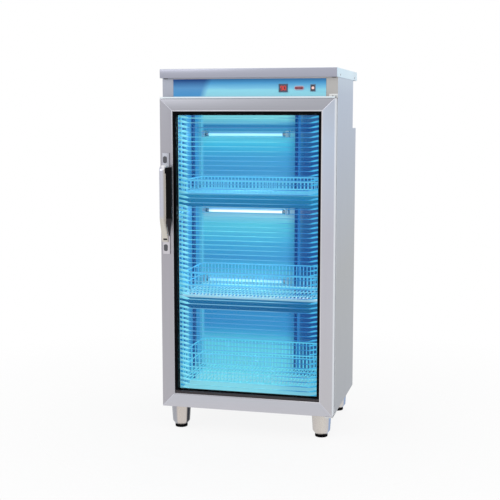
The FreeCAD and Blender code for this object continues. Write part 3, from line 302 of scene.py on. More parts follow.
def brushedSteel(name, rows, along="z", roughness=steelLook["roughness"], front=None, side=None, across=None):
    # colour by height, which paints light and reflection, darkened a little along the brushing; across adds
    # painted light towards the right, side a painted band from a first x to a second (highlight on some pieces,
    # shade on others), and front a left, a right and a lower colour of painted light and shade for what faces
    # there
    look = steelLook
    finish = Finish(name)
    x, y, z = finish.places()
    grain = finish.noise(tuple(look["long" if axis == along else "fine"] for axis in "xyz"), 4.0)
    cloud = finish.noise(look["cloudSize"], 2.0)
    colour = finish.byHeight(z, rows)
    if across:
        colour = finish.mix(x.within(*look["rightward"]), colour, across)
    if side:
        colour = finish.mix(x.within(side[1], side[2]), colour, side[0])
    if front:
        face = finish.mix(x.within(*frontFaces["x"]), front[0], front[1])
        face = finish.mix(z.within(*frontFaces["z"]), front[2], face)
        colour = finish.mix(y.within(*frontFaces["y"]), face, colour)
    dark = (grain - look["grainFrom"]) * look["grain"] + (cloud - look["cloudFrom"]) * look["cloud"]
    colour = finish.mix(dark, colour, look["shade"])
    return finish.surface(Base_Color=colour, Metallic=look["metal"],
                          Roughness=(grain - 0.5) * look["spread"] + roughness,
                          Normal=finish.bump(grain, *look["bump"]))


mouldLook = {"mottle": (260.0, 260.0, 260.0), "shade": 0.55, "spread": 0.12, "bump": (0.08, 0.0003)}
dullLook = {"shade": tint(2, 2, 3), "speckle": 0.2, "roughness": 0.5}


def mottled(finish, colour, shade, speckle, roughness, **more):
    # one noise takes the colour towards a shade, varies the roughness and lifts the surface
    mottle = finish.noise(mouldLook["mottle"])
    return finish.surface(Base_Color=finish.mix(mottle * speckle, colour, shade),
                          Roughness=(mottle - 0.5) * mouldLook["spread"] + roughness,
                          Normal=finish.bump(mottle, *mouldLook["bump"]), **more)


def plainFinish(name, colour, roughness, metallic=0.0, speckle=0.1, **more):
    # one colour with a fine mottling, for moulded and painted parts
    finish = Finish(name)
    shade = tuple(v * mouldLook["shade"] for v in colour[:3]) + (1.0,)
    return mottled(finish, colour, shade, speckle, roughness, Metallic=metallic, **more)


def shadedFinish(name, upper, lower, heights, specular):
    # a dull moulding of one colour above and another below the heights; the lighter lower colour is painted
    # light on the dark moulding
    finish = Finish(name)
    z = finish.places("Z")[0]
    return mottled(finish, finish.mix(z.within(*heights), lower, upper), dullLook["shade"],
                   dullLook["speckle"], dullLook["roughness"], Specular_IOR_Level=specular)


finishes = {
    # cover: the bright top row is a painted highlight along the top edge, and side a painted bluish reflection
    # on the right edge
    "cover": brushedSteel("cover_brushed", [
        (1.205, tint(166, 168, 182)), (1.234, tint(170, 172, 186)), (1.2346, tint(205, 214, 226)),
    ], "x", side=(tint(206, 230, 244), 297.8 * mm, 299.8 * mm)),
    # side panels: the bluer upper rows are painted reflection, and front paints light and shade on the returns
    # that face front
    "side": brushedSteel("side_brushed", [
        (0.08, tint(140, 146, 155)), (0.55, tint(146, 151, 156)), (0.95, tint(152, 165, 184)),
        (1.15, tint(160, 176, 198)), (1.235, tint(182, 200, 216)),
    ], front=(tint(158, 162, 174), tint(180, 178, 176), tint(214, 217, 221))),
    # head rail and fascia: across is painted light, warmer and lighter towards the right end
    "front": brushedSteel("front_brushed", [
        (1.10, tint(168, 172, 181)), (1.205, tint(176, 177, 182)),
    ], across=tint(200, 194, 186)),
    # rails and stiles: the colours by height are painted light; the top rail is painted darker than the bottom
    # one and the left stile darker than the right, whose top gets a painted bluish reflection and whose side
    # face a painted highlight
    "rail": brushedSteel("rail_brushed", [
        (0.086, tint(196, 195, 202)), (0.14, tint(190, 192, 200)), (1.094, tint(192, 192, 200)),
        (1.099, tint(162, 163, 171)), (1.135, tint(160, 161, 169)),
    ], "x"),
    "stileLeft": brushedSteel("stile_left_brushed", [
        (0.086, tint(176, 174, 180)), (0.6, tint(169, 166, 173)), (1.137, tint(158, 158, 166)),
    ]),
    "stileRight": brushedSteel("stile_right_brushed", [
        (0.086, tint(192, 190, 194)), (0.7, tint(188, 188, 198)), (1.0, tint(186, 197, 214)),
        (1.137, tint(184, 191, 204)),
    ], side=(tint(214, 219, 226), 293.8 * mm, 295.8 * mm)),
    # the mitre seams' lighter colour is a painted highlight
    "weld": brushedSteel("polished_line", [(0.0, tint(208, 209, 220))], "x", 0.25),
    # the hem's near white is a painted highlight along the door's top edge
    "hem": plainFinish("hem_polished", tint(236, 245, 252), 0.45, 0.1, 0.05),
    # the opening lip: across is painted light, lighter towards the right
    "lip": brushedSteel("lip_polished", [(0.0, tint(180, 179, 186))], "x", 0.25, across=tint(212, 211, 216)),
    "black": plainFinish("black_moulding", tint(26, 25, 28), 0.5, Specular_IOR_Level=0.2),
    "rubber": plainFinish("black_rubber", tint(6, 5, 7), 0.65, speckle=0.25, Specular_IOR_Level=0.04),
    # grip and glazing strip: the grey lower part is painted light on black
    "grip": shadedFinish("grip_moulding", tint(5, 5, 7), tint(50, 47, 50), (0.738, 0.743), 0.07),
    "strip": shadedFinish("glazing_rubber", tint(6, 5, 7), tint(74, 70, 72), (0.143, 0.145), 0.04),
    "bright": brushedSteel("bright_steel", [(0.0, tint(226, 228, 228))], "x", 0.26),
    # pull: the colours by height are painted light, lightest on the lower slope, and side is a warmer painted
    # shade on the face beside the grip
    "pull": brushedSteel("pull_steel", [
        (0.650, tint(184, 180, 180)), (0.668, tint(206, 201, 192)), (0.735, tint(204, 200, 192)),
        (0.750, tint(192, 193, 205)), (0.930, tint(192, 193, 205)),
    ], "z", 0.24, side=(tint(166, 159, 152), -273 * mm, -266 * mm)),
    # the pull cap's near white is a painted highlight on the top of the pull
    "pullCap": plainFinish("pull_cap_polished", tint(238, 238, 242), 0.3, 0.2),
    # handle plate: the colours by height are painted light, darker towards the top, and side is a painted
    # shadow along its right edge
    "pullPlate": brushedSteel("pull_plate_steel", [
        (0.64, tint(204, 200, 206)), (0.70, tint(198, 194, 201)), (0.92, tint(162, 164, 173)),
    ], side=(tint(112, 108, 114), -264.6 * mm, -262.6 * mm)),
    "shade": plainFinish("shadow_gap", tint(104, 100, 100), 0.6),
    # dark grey for the screws and bolt, and painted shade in the shallow wells and slot that stand for openings
    "darkScrew": plainFinish("dark_screw", tint(82, 82, 88), 0.5, 0.1, 0.3),
    "screw": plainFinish("bright_screw", tint(170, 172, 178), 0.25, 0.9),
    "white": plainFinish("white_moulding", tint(226, 232, 236), 0.4),
    "board": plainFinish("circuit_board", tint(30, 96, 58), 0.5),
    "iron": plainFinish("laminated_iron", tint(74, 68, 64), 0.6, 0.5, 0.3),
    "wool": plainFinish("insulation_wool", tint(214, 204, 172), 0.95, speckle=0.6),
    "ballast": plainFinish("ballast_paint", tint(206, 208, 205), 0.45, 0.2),
}
print("plain finishes ready")

# emission strengths; all but the tube glow as painted light
glow = {"wall": 0.53, "wire": 0.36, "tube": 1.0, "side": 0.36, "guard": 0.38, "beam": 0.42, "post": 0.4,
        "strip": 0.5, "runner": 0.28, "upright": 0.42, "film": 0.14}
blueRows = [  # height, colour of the lit rear wall
    (0.124, tint(138, 234, 240)), (0.240, tint(116, 226, 238)), (0.278, tint(74, 185, 223)),
    (0.300, tint(61, 163, 215)), (0.395, tint(54, 151, 207)), (0.440, tint(84, 198, 220)),
    (0.477, tint(138, 214, 228)), (0.520, tint(92, 204, 230)), (0.560, tint(71, 167, 215)),
    (0.625, tint(82, 197, 232)), (0.690, tint(106, 226, 238)), (0.734, tint(190, 238, 248)),
    (0.775, tint(68, 169, 208)), (0.870, tint(76, 167, 213)), (0.930, tint(74, 177, 221)),
    (0.975, tint(78, 212, 240)), (1.000, tint(108, 224, 238)), (1.020, tint(148, 234, 243)),
    (1.028, tint(34, 124, 180)), (1.034, tint(82, 182, 217)), (1.044, tint(30, 118, 176)),
    (1.052, tint(98, 198, 223)), (1.070, tint(148, 239, 239)), (1.106, tint(148, 239, 239)),
]
sideRows = [  # the same for the side walls, which stay dark between the lamps
    (0.124, tint(67, 194, 245)), (0.270, tint(31, 133, 205)), (0.420, tint(21, 111, 183)),
    (0.465, tint(87, 213, 250)), (0.500, tint(103, 229, 250)), (0.560, tint(33, 137, 207)),
    (0.720, tint(21, 109, 181)), (0.740, tint(77, 205, 249)), (0.765, tint(31, 129, 199)),
    (0.860, tint(19, 111, 183)), (0.995, tint(21, 121, 195)), (1.015, tint(91, 227, 250)),
    (1.030, tint(17, 103, 177)), (1.060, tint(19, 113, 187)), (1.080, tint(55, 181, 243)),
    (1.106, tint(79, 205, 250)),
]
litLook = {"grain": (6.0, 6.0, 500.0), "streak": (3.0, 3.0, 70.0), "streakFrom": 0.42, "streakMix": 0.8,
           "streakTint": tint(50, 138, 196), "fadeMix": 0.9, "baseMix": 0.6, "baseTint": tint(16, 62, 104),
           "metal": 0.2, "roughness": 0.5, "spread": 0.2, "specular": 0.2}


def litSheet(name, rows, strength, fades=()):
    # brushed sheet that glows by height as painted light, as the tubes light it, with faint level lines; each
    # fade mixes in another colour of painted light and shade from a first place to a second along an axis
    look = litLook
    finish = Finish(name)
    colour = finish.byHeight(finish.places("Z")[0], rows)
    grain = finish.noise(look["grain"], 4.0)
    streak = finish.noise(look["streak"], 2.0)
    colour = finish.mix((streak - look["streakFrom"]) * look["streakMix"], colour, look["streakTint"])
    for axis, first, second, other in fades:
        share = finish.places(axis)[0].within(first, second) * look["fadeMix"]
        colour = finish.mix(share, colour, other)
    return finish.surface(Base_Color=finish.mix(look["baseMix"], colour, look["baseTint"]),
                          Metallic=look["metal"], Specular_IOR_Level=look["specular"],
                          Roughness=(grain - 0.5) * look["spread"] + look["roughness"],
                          Emission_Color=colour, Emission_Strength=strength)


wireLook = {"mottle": (90.0, 90.0, 90.0), "mottleFrom": 0.35, "mottleMix": 0.4,
            "mottleTint": tint(50, 140, 200), "rightFrom": (0.08, 0.17), "rightTint": tint(34, 128, 190),
            "endsFrom": (0.200, 0.214), "halves": (-0.1, 0.1), "nearDoor": (-0.07, -0.12), "step": 2 * mm,
            "metal": 0.3, "roughness": 0.35, "spread": 0.1, "specular": 0.3}


def litWire(name, rows, strength, ends=None, front=None):
    # wire that glows by height as painted light; ends are the painted-light colours at both ends of its run,
    # with a painted shade towards the right, and front the one that the lamp behind gives it over some heights
    # near the door
    look = wireLook
    finish = Finish(name)
    x, y, z = finish.places()
    colour = finish.byHeight(z, rows)
    mottle = finish.noise(look["mottle"], 2.0)
    if ends:
        colour = finish.mix(x.within(*look["rightFrom"]), colour, look["rightTint"])
        either = finish.mix(x.within(*look["halves"]), ends[0], ends[1])
        colour = finish.mix(x.run("ABSOLUTE").within(*look["endsFrom"]), colour, either)
    if front:
        low, high, bright = front
        near = y.within(*look["nearDoor"]) * z.within(low, low + look["step"]) * z.run("LESS_THAN", high)
        colour = finish.mix(near, colour, bright)
    colour = finish.mix((mottle - look["mottleFrom"]) * look["mottleMix"], colour, look["mottleTint"])
    return finish.surface(Base_Color=colour, Metallic=look["metal"], Specular_IOR_Level=look["specular"],
                          Roughness=(mottle - 0.5) * look["spread"] + look["roughness"],
                          Emission_Color=colour, Emission_Strength=strength)


guardTone = {"keep": 0.86, "white": 0.05, "whiteLow": 0.07, "lowBelow": 0.45}


def guardRows():
    # every second painted-light colour c of the rear wall as keep c + white, the white added painted light,
    # with more white low down
    rows = []
    for height, colour in blueRows[::2]:
        white = guardTone["whiteLow" if height < guardTone["lowBelow"] else "white"]
        rows.append((height, tuple(guardTone["keep"] * v + white for v in colour[:3]) + (1.0,)))
    return rows


hiddenEdge = tint(14, 18, 22)  # the far faces of the liner, which no tube lights
shelfRows = [(0.12, tint(110, 205, 235)), (1.1, tint(90, 190, 230))]
finishes.update({
    # rear wall: painted shade darkens its right part, a painted light band lies along its left edge, and
    # hiddenEdge paints shade on its far faces
    "rearWall": litSheet("rear_liner_lit", blueRows, glow["wall"], [
        ("X", 0.060, 0.125, tint(2, 60, 134)), ("X", -0.250, -0.257, tint(110, 214, 240)),
        ("Y", 0.1648, 0.1652, hiddenEdge),
    ]),
    # side walls: painted light that grows lighter towards the rear
    "sideWall": litSheet("side_liner_lit", sideRows, glow["side"], [
        ("Y", -0.030, -0.022, tint(72, 182, 236)), ("Y", 0.128, 0.140, tint(104, 208, 238)),
    ]),
    "ceiling": litSheet("chamber_ceiling", [(1.1, tint(165, 238, 238))], glow["wall"], [
        ("Z", 1.1062, 1.1066, hiddenEdge),
    ]),
    "floor": litSheet("chamber_floor", [(0.1, tint(166, 242, 242))], glow["wall"]),
    # beams: a painted highlight along the top edge of each
    "beam": litSheet("beam_steel_lit", [
        (0.42, tint(2, 100, 156)), (0.4615, tint(6, 124, 174)), (0.4635, tint(190, 240, 248)),
        (0.467, tint(190, 240, 248)), (0.77, tint(8, 118, 172)), (0.8155, tint(34, 154, 200)),
        (0.8175, tint(120, 212, 238)),
    ], glow["beam"]),
    # posts and wall strip: the channel's dark blue is painted shade, the flange's and the strip's paler blues
    # painted light, on one steel
    "postDark": litSheet("post_channel_lit", [(0.1, tint(2, 62, 136))], glow["post"]),
    "postLight": litSheet("post_flange_lit", [
        (0.1, tint(62, 158, 222)), (1.1, tint(40, 130, 206)),
    ], glow["post"]),
    "stripLight": litSheet("wall_strip_lit", [(0.1, tint(96, 214, 244))], glow["strip"]),
    "runner": litSheet("runner_lit", shelfRows, glow["runner"]),
    # uprights: the darker rear part is painted shade
    "upright": litSheet("upright_lit", shelfRows, glow["upright"], [("Y", 0.030, 0.036, tint(0, 66, 140))]),
    "basket": litWire("basket_wire_lit", [
        (0.16, tint(130, 224, 233)), (0.27, tint(106, 212, 232)), (0.455, tint(180, 234, 242)),
        (0.475, tint(150, 228, 243)), (0.50, tint(100, 200, 234)), (0.56, tint(104, 204, 236)),
        (0.81, tint(130, 215, 238)), (0.87, tint(112, 205, 235)),
    ], glow["wire"], front=(0.455, 0.474, tint(244, 252, 254))),
    "guard": litWire("guard_wire_lit", guardRows(), glow["guard"],
                     ends=(tint(140, 234, 252), tint(72, 190, 232))),
})

tubeLook = {"apart": 50 * mm, "cloud": (20.0, 90.0, 90.0), "cloudMix": 0.5, "white": 1.15, "end": 0.238,
            "endSoft": 0.03, "coreHeight": 0.75, "coreSoft": (0.05, 0.15), "coreMix": 0.75,
            "blue": tint(112, 208, 236), "topSide": (0.5 * mm, 3.0 * mm), "reach": 20 * mm, "topMix": 0.8,
            "topTint": tint(40, 124, 196), "base": (0.50, 0.60, 0.65, 1.0), "roughness": 0.15}


def tubeHeights():
    # the middle height of each separate tube in the node
    levels = np.sort([v.co[2] for v in nodes["lamp_tubes"].data.vertices])
    breaks = np.where(np.diff(levels) > tubeLook["apart"])[0]
    return [float(part[0] + part[-1]) / 2 for part in np.split(levels, breaks + 1)]


lampHeights = tubeHeights()


def tubeFinish():
    # white-hot along the middle tube, bluer on the others and near the left caps, with a painted shade on each
    # tube's upper side
    look = tubeLook
    finish = Finish("lamp_tube_lit")
    x, z = finish.places("XZ")
    cloud = finish.noise(look["cloud"], 2.0)
    ends = (x + look["end"]).within(0.0, look["endSoft"])
    core = 1 - (z - look["coreHeight"]).run("ABSOLUTE").within(*look["coreSoft"])
    core = core * look["coreMix"] + (1 - look["coreMix"])
    white = ends * (look["white"] - cloud * look["cloudMix"]) * core
    colour = finish.mix(white, look["blue"], (1.0, 1.0, 1.0, 1.0))
    for height in lampHeights:
        above = z - height
        upper = above.within(*look["topSide"]) * above.run("LESS_THAN", look["reach"])
        colour = finish.mix(upper * look["topMix"], colour, look["topTint"])
    return finish.surface(Base_Color=look["base"], Roughness=look["roughness"], Emission_Color=colour,
                          Emission_Strength=glow["tube"])


glassLook = {"tint": (0.80, 0.93, 1.0, 1.0), "wave": (8.0, 8.0, 8.0), "waveMix": 0.02, "roughness": 0.015,
             "bend": 1.5, "clearBelow": 0.04, "mirror": 0.9, "least": 0.008}


def glassFinish():
    # mirror-like by the view's slant, clear elsewhere
    look = glassLook
    finish = Finish("door_glass_clear")
    wave = finish.noise(look["wave"], 1.0)
    slant = finish.add("ShaderNodeFresnel", {}, {"IOR": look["bend"]})
    return finish.surface(Base_Color=look["tint"], Metallic=1.0,
                          Roughness=wave * look["waveMix"] + look["roughness"],
                          Alpha=(slant - look["clearBelow"]) * look["mirror"] + look["least"])


filmLook = {
    "edgeLow": -0.158, "edgeHigh": -0.136, "soft": 0.012, "dot": 900.0, "dotMix": 0.35,
    "pale": [(0.0, tint(160, 232, 248)), (0.38, tint(154, 230, 250)), (0.52, tint(130, 208, 242)),
             (0.78, tint(84, 168, 222)), (1.0, tint(56, 124, 184))],
    "dark": [(0.0, tint(80, 162, 222)), (0.5, tint(94, 158, 212)), (1.0, tint(4, 50, 130))],
    "wave": (9.0, 1.0, 20.0), "waveRise": 0.5, "waveLean": 0.8, "crest": (0.42, 0.5), "crestMix": 0.10,
    "crestTint": tint(80, 150, 205), "lowBand": 0.07, "lowTint": tint(176, 220, 238), "roughness": 0.3,
    "spread": 0.05, "specular": 0.12,
}


def filmFinish():
    # dark block at the left with a leaning dotted edge; paler wave below a blue top, darker towards the top as
    # print and as painted shade under the cover's lip; the film's glow is painted light
    look = filmLook
    finish = Finish("control_film_print")
    x, z = finish.places("XZ")
    low, high = corners("control_film")
    rise = z.within(float(low[2]), float(high[2]))
    pale, dark = finish.ramp(rise, look["pale"]), finish.ramp(rise, look["dark"])
    line = look["edgeLow"] + rise * (look["edgeHigh"] - look["edgeLow"])
    dots = (x * look["dot"]).run("SINE") * (z * look["dot"]).run("SINE")
    away = (x - line) / look["soft"] + dots * look["dotMix"] * (1 - (rise - 0.5).run("ABSOLUTE"))
    colour = finish.mix(away.within(-1.0, 1.0), dark, pale)
    wave = finish.noise(look["wave"], 1.0)
    crest = (rise + (wave - 0.5) * look["waveRise"] + x * look["waveLean"]).within(*look["crest"])
    colour = finish.mix(crest * look["crestMix"], colour, look["crestTint"])
    colour = finish.mix(1 - rise.within(0.0, look["lowBand"]), colour, look["lowTint"])
    return finish.surface(Base_Color=colour, Specular_IOR_Level=look["specular"],
                          Roughness=(wave - 0.5) * look["spread"] + look["roughness"],
                          Emission_Color=colour, Emission_Strength=glow["film"])


sleeveLook = {  # painted reflections as bands by share of a turn, for the legs at the left and at the right
    "left": [(0.0, tint(118, 122, 130)), (0.05, tint(160, 162, 170)), (0.20, tint(166, 167, 174)),
             (0.235, tint(206, 197, 190)), (0.385, tint(208, 200, 194)), (0.415, tint(34, 38, 48)),
             (0.53, tint(26, 31, 40)), (0.58, tint(130, 134, 142)), (0.75, tint(164, 166, 172)),
             (1.0, tint(118, 122, 130))],
    "right": [(0.0, tint(150, 152, 158)), (0.10, tint(198, 192, 188)), (0.30, tint(212, 206, 199)),
              (0.40, tint(204, 200, 198)), (0.44, tint(136, 164, 206)), (0.52, tint(120, 130, 150)),
              (0.75, tint(176, 178, 182)), (1.0, tint(150, 152, 158))],
    "grain": (700.0, 700.0, 12.0), "grainFrom": 0.35, "grainMix": 0.2, "grainTint": tint(90, 92, 98),
    "halves": (-10 * mm, 10 * mm), "metal": 0.85, "roughness": 0.28, "spread": 0.1, "bump": (0.05, 0.0003),
}


def sleeveFinish():
    # polished legs: painted reflections as bands by the angle round each leg's own axis, another set on the
    # right-hand legs
    look = sleeveLook
    finish = Finish("sleeve_polished")
    x, y = finish.places("XY")
    front, rear = [sum(corners(name)) / 2 for name in ("foot_front_left", "foot_rear_right")]
    reach, middle = np.abs(rear - front) / 2, (front + rear) / 2
    outX = x - x.run("SIGN") * float(reach[0])
    outY = (y - float(middle[1])) - (y - float(middle[1])).run("SIGN") * float(reach[1])
    turn = outY.run("ARCTAN2", outX) / (2 * math.pi) + 0.5
    left, right = finish.ramp(turn, look["left"]), finish.ramp(turn, look["right"])
    grain = finish.noise(look["grain"])
    colour = finish.mix(x.within(*look["halves"]), left, right)
    share = (grain - look["grainFrom"]) * look["grainMix"]
    return finish.surface(Base_Color=finish.mix(share, colour, look["grainTint"]),
                          Metallic=look["metal"],
                          Roughness=(grain - 0.5) * look["spread"] + look["roughness"],
                          Normal=finish.bump(grain, *look["bump"]))


finishes.update({"glass": glassFinish(), "sleeve": sleeveFinish(), "tube": tubeFinish(), "film": filmFinish()})
print("lit finishes ready")

easeLook = {"weld": 1e-5, "segments": 2, "angle": 40}


def dress(node, finish, ease=0.0):
    # a finish on every slot of a node, with its edges eased where wanted
    thing = nodes[node]
    if not thing.data.materials:
        thing.data.materials.append(finish)
    for slot in thing.material_slots:
        slot.material = finish
    if ease:
        thing.modifiers.new("weld", "WELD").merge_threshold = easeLook["weld"]
        bevel = thing.modifiers.new("ease", "BEVEL")
        bevel.width, bevel.segments, bevel.limit_method = ease, easeLook["segments"], "ANGLE"
        bevel.angle_limit = math.radians(easeLook["angle"])


nodeFinishes = {
    "side": ("side_panel_left", "side_panel_right", "back_panel", "recess_panel", "base_pan"),
    "front": ("head_rail", "control_fascia"), "sideWall": ("liner_sides",), "floor": ("liner_floor",),
    "rearWall": ("liner_back", "lamp_reflectors"), "ceiling": ("chamber_deck",), "wool": ("insulation_pads",),
    "white": ("lamp_holders", "terminal_block", "magnetic_seal"), "ballast": ("lamp_ballasts",),
    "board": ("control_board",), "iron": ("transformer",), "rubber": ("glazing_bead",),
    "black": ("fan_frame", "fan_rotor", "cable_gland", "hinge_bushes"), "upright": ("shelf_uprights",),
    "runner": ("shelf_runners",), "beam": ("front_beams",), "rail": ("door_inner_frame",),
    "film": ("control_film",), "glass": ("door_glass",), "bright": ("hinge_brackets",),
    "screw": ("cover_screws",),
}
easedEdges = {  # how far a folded sheet's or a moulding's edges are eased, in mm
    "side_panel_left": 0.5, "side_panel_right": 0.5, "back_panel": 0.5, "recess_panel": 0.5, "base_pan": 0.5,
    "head_rail": 0.4, "control_fascia": 0.3, "hinge_brackets": 0.6, "lamp_holders": 0.8, "lamp_ballasts": 1.5,
    "transformer": 0.8, "terminal_block": 0.5, "door_inner_frame": 0.4, "cable_gland": 0.5,
}
for look, names in nodeFinishes.items():
    for name in names:
        dress(name, finishes[look], easedEdges.get(name, 0.0) * mm)
print("nodes dressed")

coverShape = {"edge": 2.2 * mm, "corner": 3.0 * mm, "sheet": 1.2 * mm, "lipInset": 0.3 * mm,
              "lipRise": 0.4 * mm, "leastCorner": 0.2 * mm, "flatFrom": 6 * mm, "foldInset": 1.3 * mm,
              "foldGap": 1.2 * mm, "foldLift": 0.1 * mm, "foldEase": 0.3 * mm}
lipEnds = {"start": 279 * mm, "end": 292 * mm, "drop": 2.2 * mm, "rise": 0.5 * mm, "back": 4 * mm,
           "front": 0.4 * mm, "ease": 0.8 * mm}
coverLow, coverHigh = corners("top_cover")
faceY = float(corners("control_fascia")[0][1])


def makeCover():
    # rings round the folded sheet: (inset, height) from under the top, round the lip, over the edge and in
    shape = coverShape
    edge, sheet, bottom, top = shape["edge"], shape["sheet"], coverLow[2], coverHigh[2]
    turn = np.linspace(0, np.pi / 2, 6)
    rows = [(sheet, top - sheet), (sheet, bottom), (shape["lipInset"], bottom)]
    rows += [(0.0, bottom + shape["lipRise"])]
    rows += [(edge * (1 - c), top - edge * (1 - s)) for c, s in zip(np.cos(turn), np.sin(turn))]
    rows += [(edge + shape["flatFrom"], top)]
    size, middle = (coverHigh - coverLow)[:2], (coverHigh + coverLow)[:2] / 2
    rings = []
    for inset, height in rows:
        loop = roundedLoop(*(size - 2 * inset), max(shape["corner"] - inset, shape["leastCorner"]))
        rings.append(np.insert(loop + middle, 2, height, 1))
    # the fold under the front lip
    inset = shape["foldInset"]
    fold = easedBox((coverLow[0] + inset, coverLow[1] + inset, bottom + shape["foldLift"]),
                    (coverHigh[0] - inset, faceY - shape["foldGap"], bottom + inset), shape["foldEase"], 2)
    makePiece("cover_sheet", [skin(np.array(rings)), fold], "cabinet", finishes["cover"],
              ["top_cover"])
    # dark blocks under the ends of the front lip: a painted shadow under the lip
    lipShadows = [easedBox((left, faceY - lipEnds["back"], bottom - lipEnds["drop"]),
                     (right, faceY - lipEnds["front"], bottom + lipEnds["rise"]), lipEnds["ease"])
            for left, right in ((-lipEnds["end"], -lipEnds["start"]), (lipEnds["start"], lipEnds["end"]))]
    makePiece("lip_end_gaps", lipShadows, "cabinet", finishes["shade"])


makeCover()
print("cover made")

frameShape = {"edge": 2.4 * mm, "bead": 3.4 * mm, "beadRise": 0.7 * mm, "beadSink": 0.3, "flatEnd": 1.2 * mm,
              "seam": 0.15 * mm, "lap": 3.8 * mm, "gap": 0.3 * mm}
doorLow = np.minimum(corners("door_stiles")[0], corners("door_rails")[0])
doorHigh = np.maximum(corners("door_stiles")[1], corners("door_rails")[1])
stripLow, stripHigh = corners("glazing_gasket")
stripLow[0] += frameShape["lap"]
stripHigh[0] -= frameShape["lap"]
stileWidth = float(stripLow[0] - doorLow[0]) - frameShape["gap"]
bottomWidth = float(stripLow[2] - doorLow[2]) - frameShape["gap"]
topWidth = float(doorHigh[2] - stripHigh[2]) - frameShape["gap"]


def frameProfile(width, depth):
    # (inset, depth) round the bar: eased outer edge, flat face, a raised bead at the inner edge
    shape = frameShape
    edge, bead = shape["edge"], shape["bead"]
    turn, swell = np.linspace(0, np.pi / 2, 6), np.linspace(0, np.pi, 7)
    outer = np.stack([edge * (1 - np.cos(turn)), edge * (1 - np.sin(turn))], 1)
    rise = shape["beadRise"] * (shape["beadSink"] - np.sin(swell))
    inner = np.stack([width - bead * (1 + np.cos(swell)) / 2, rise], 1)
    flat = (width - bead - shape["flatEnd"], 0)
    return np.concatenate([[(0, depth)], outer, [flat], inner, [(width, depth)]])


def frameBar(side):
    # the profile carried along one side and cut at the mitres, where inset/width is the same for both bars
    width = {"left": stileWidth, "right": stileWidth, "top": topWidth, "bottom": bottomWidth}[side]
    profile = frameProfile(width, float(doorHigh[1] - doorLow[1]))
    share, seam = profile[:, 0] / width, frameShape["seam"]
    y = doorLow[1] + profile[:, 1]
    ends = []
    for end in (0, 1):
        if side in ("left", "right"):
            x = doorLow[0] + profile[:, 0] if side == "left" else doorHigh[0] - profile[:, 0]
            z = doorHigh[2] - share * topWidth - seam if end else doorLow[2] + share * bottomWidth + seam
        else:
            z = doorHigh[2] - profile[:, 0] if side == "top" else doorLow[2] + profile[:, 0]
            x = doorHigh[0] - share * stileWidth - seam if end else doorLow[0] + share * stileWidth + seam
        ends.append(np.stack([x, y, z], 1))
    return skin(np.array(ends))


for side in ("left", "right"):
    finish = finishes["stile" + side.title()]
    makePiece("door_stile_" + side, [frameBar(side)], "door", finish, ["door_stiles"])
makePiece("door_rail_pair", [frameBar("top"), frameBar("bottom")], "door", finishes["rail"],
          ["door_rails"])
mitreShape = {"half": 0.9 * mm, "rise": 0.35 * mm, "sink": 0.1 * mm, "outer": 1.5 * mm, "inner": 2 * mm}


def makeMitres():
    # a thin raised seam from the outer to the inner corner of each mitre, its lighter colour a painted
    # highlight
    shape = mitreShape
    outer, inner, y = shape["outer"], shape["inner"], doorLow[1] + shape["sink"]
    seams = []
    for sx in (-1, 1):
        for sz, edge, width in ((1, doorHigh[2], topWidth), (-1, doorLow[2], bottomWidth)):
            path = np.linspace((sx * (doorHigh[0] - outer), y, edge - sz * outer),
                               (sx * (doorHigh[0] - stileWidth + inner), y, edge - sz * (width - inner)), 4)
            seams.append(rod(path, (shape["half"], shape["rise"]), (0, -1, 0), 8))
    makePiece("door_mitres", seams, "door", finishes["weld"])


lipShape = {"half": 1.9 * mm, "thick": 0.8 * mm, "proud": 0.1 * mm}
hemShape = {"end": 1.0 * mm, "centre": 3.1 * mm, "half": 2.6 * mm, "thick": 1.0 * mm}


def makeLip():
    # a flattened bead round the opening, on the face of the frame: corner + r cos t outward, thickness sin t
    half, y = lipShape["half"], doorLow[1] - lipShape["proud"]
    x0, x1 = doorLow[0] + stileWidth - half, doorHigh[0] - stileWidth + half
    z0, z1 = doorLow[2] + bottomWidth - half, doorHigh[2] - topWidth + half
    path = np.array([(x0, y, z0), (x1, y, z0), (x1, y, z1), (x0, y, z1)])
    outward = np.array([(-1, 0, -1), (1, 0, -1), (1, 0, 1), (-1, 0, 1)])
    turn = np.linspace(0, 2 * np.pi, 10, endpoint=False)
    grid = path[:, None] + half * np.cos(turn)[None, :, None] * outward[:, None]
    grid[..., 1] += lipShape["thick"] * np.sin(turn)
    makePiece("door_opening_lip", [skin(grid, loopRows=True)], "door", finishes["lip"])


def makeHem():
    # a flat rod along the top of the door, its near white a painted highlight along the top edge
    shape = hemShape
    end, y, z = shape["end"], doorLow[1] + shape["thick"], doorHigh[2] + shape["centre"]
    line = np.linspace((doorLow[0] + end, y, z), (doorHigh[0] - end, y, z), 6)
    hem = rod(line, (shape["thick"], shape["half"]), sides=12)
    makePiece("door_top_hem", [hem], "door", finishes["hem"])


stripShape = {"wide": 9.0 * mm, "low": 0.72, "step": 0.4 * mm, "edge": 0.8 * mm, "round": 3 * mm}


def makeStrip():
    # a soft strip round the glass, eased towards it: (inset, depth) at each corner in turn
    shape = stripShape
    wide, ease, depth = shape["wide"], shape["round"], float(stripHigh[1] - stripLow[1])
    turn = np.linspace(0, np.pi / 2, 5)
    inner = np.stack([wide - ease + ease * np.sin(turn), ease * (1 - np.cos(turn))], 1)
    profile = np.concatenate([[(0, depth), (0, shape["step"]), (shape["edge"], 0)], inner, [(wide, depth)]])
    inset, y = profile[:, 0], stripLow[1] + profile[:, 1]
    low, high = stripLow[2] + inset * shape["low"], stripHigh[2] - inset
    right = stripHigh[0] - inset
    rings = [np.stack([x, y, z], 1) for x, z in ((-right, low), (right, low), (right, high), (-right, high))]
    makePiece("glazing_strip", [skin(np.array(rings), loopRows=True)], "door", finishes["strip"],
              ["glazing_gasket"])


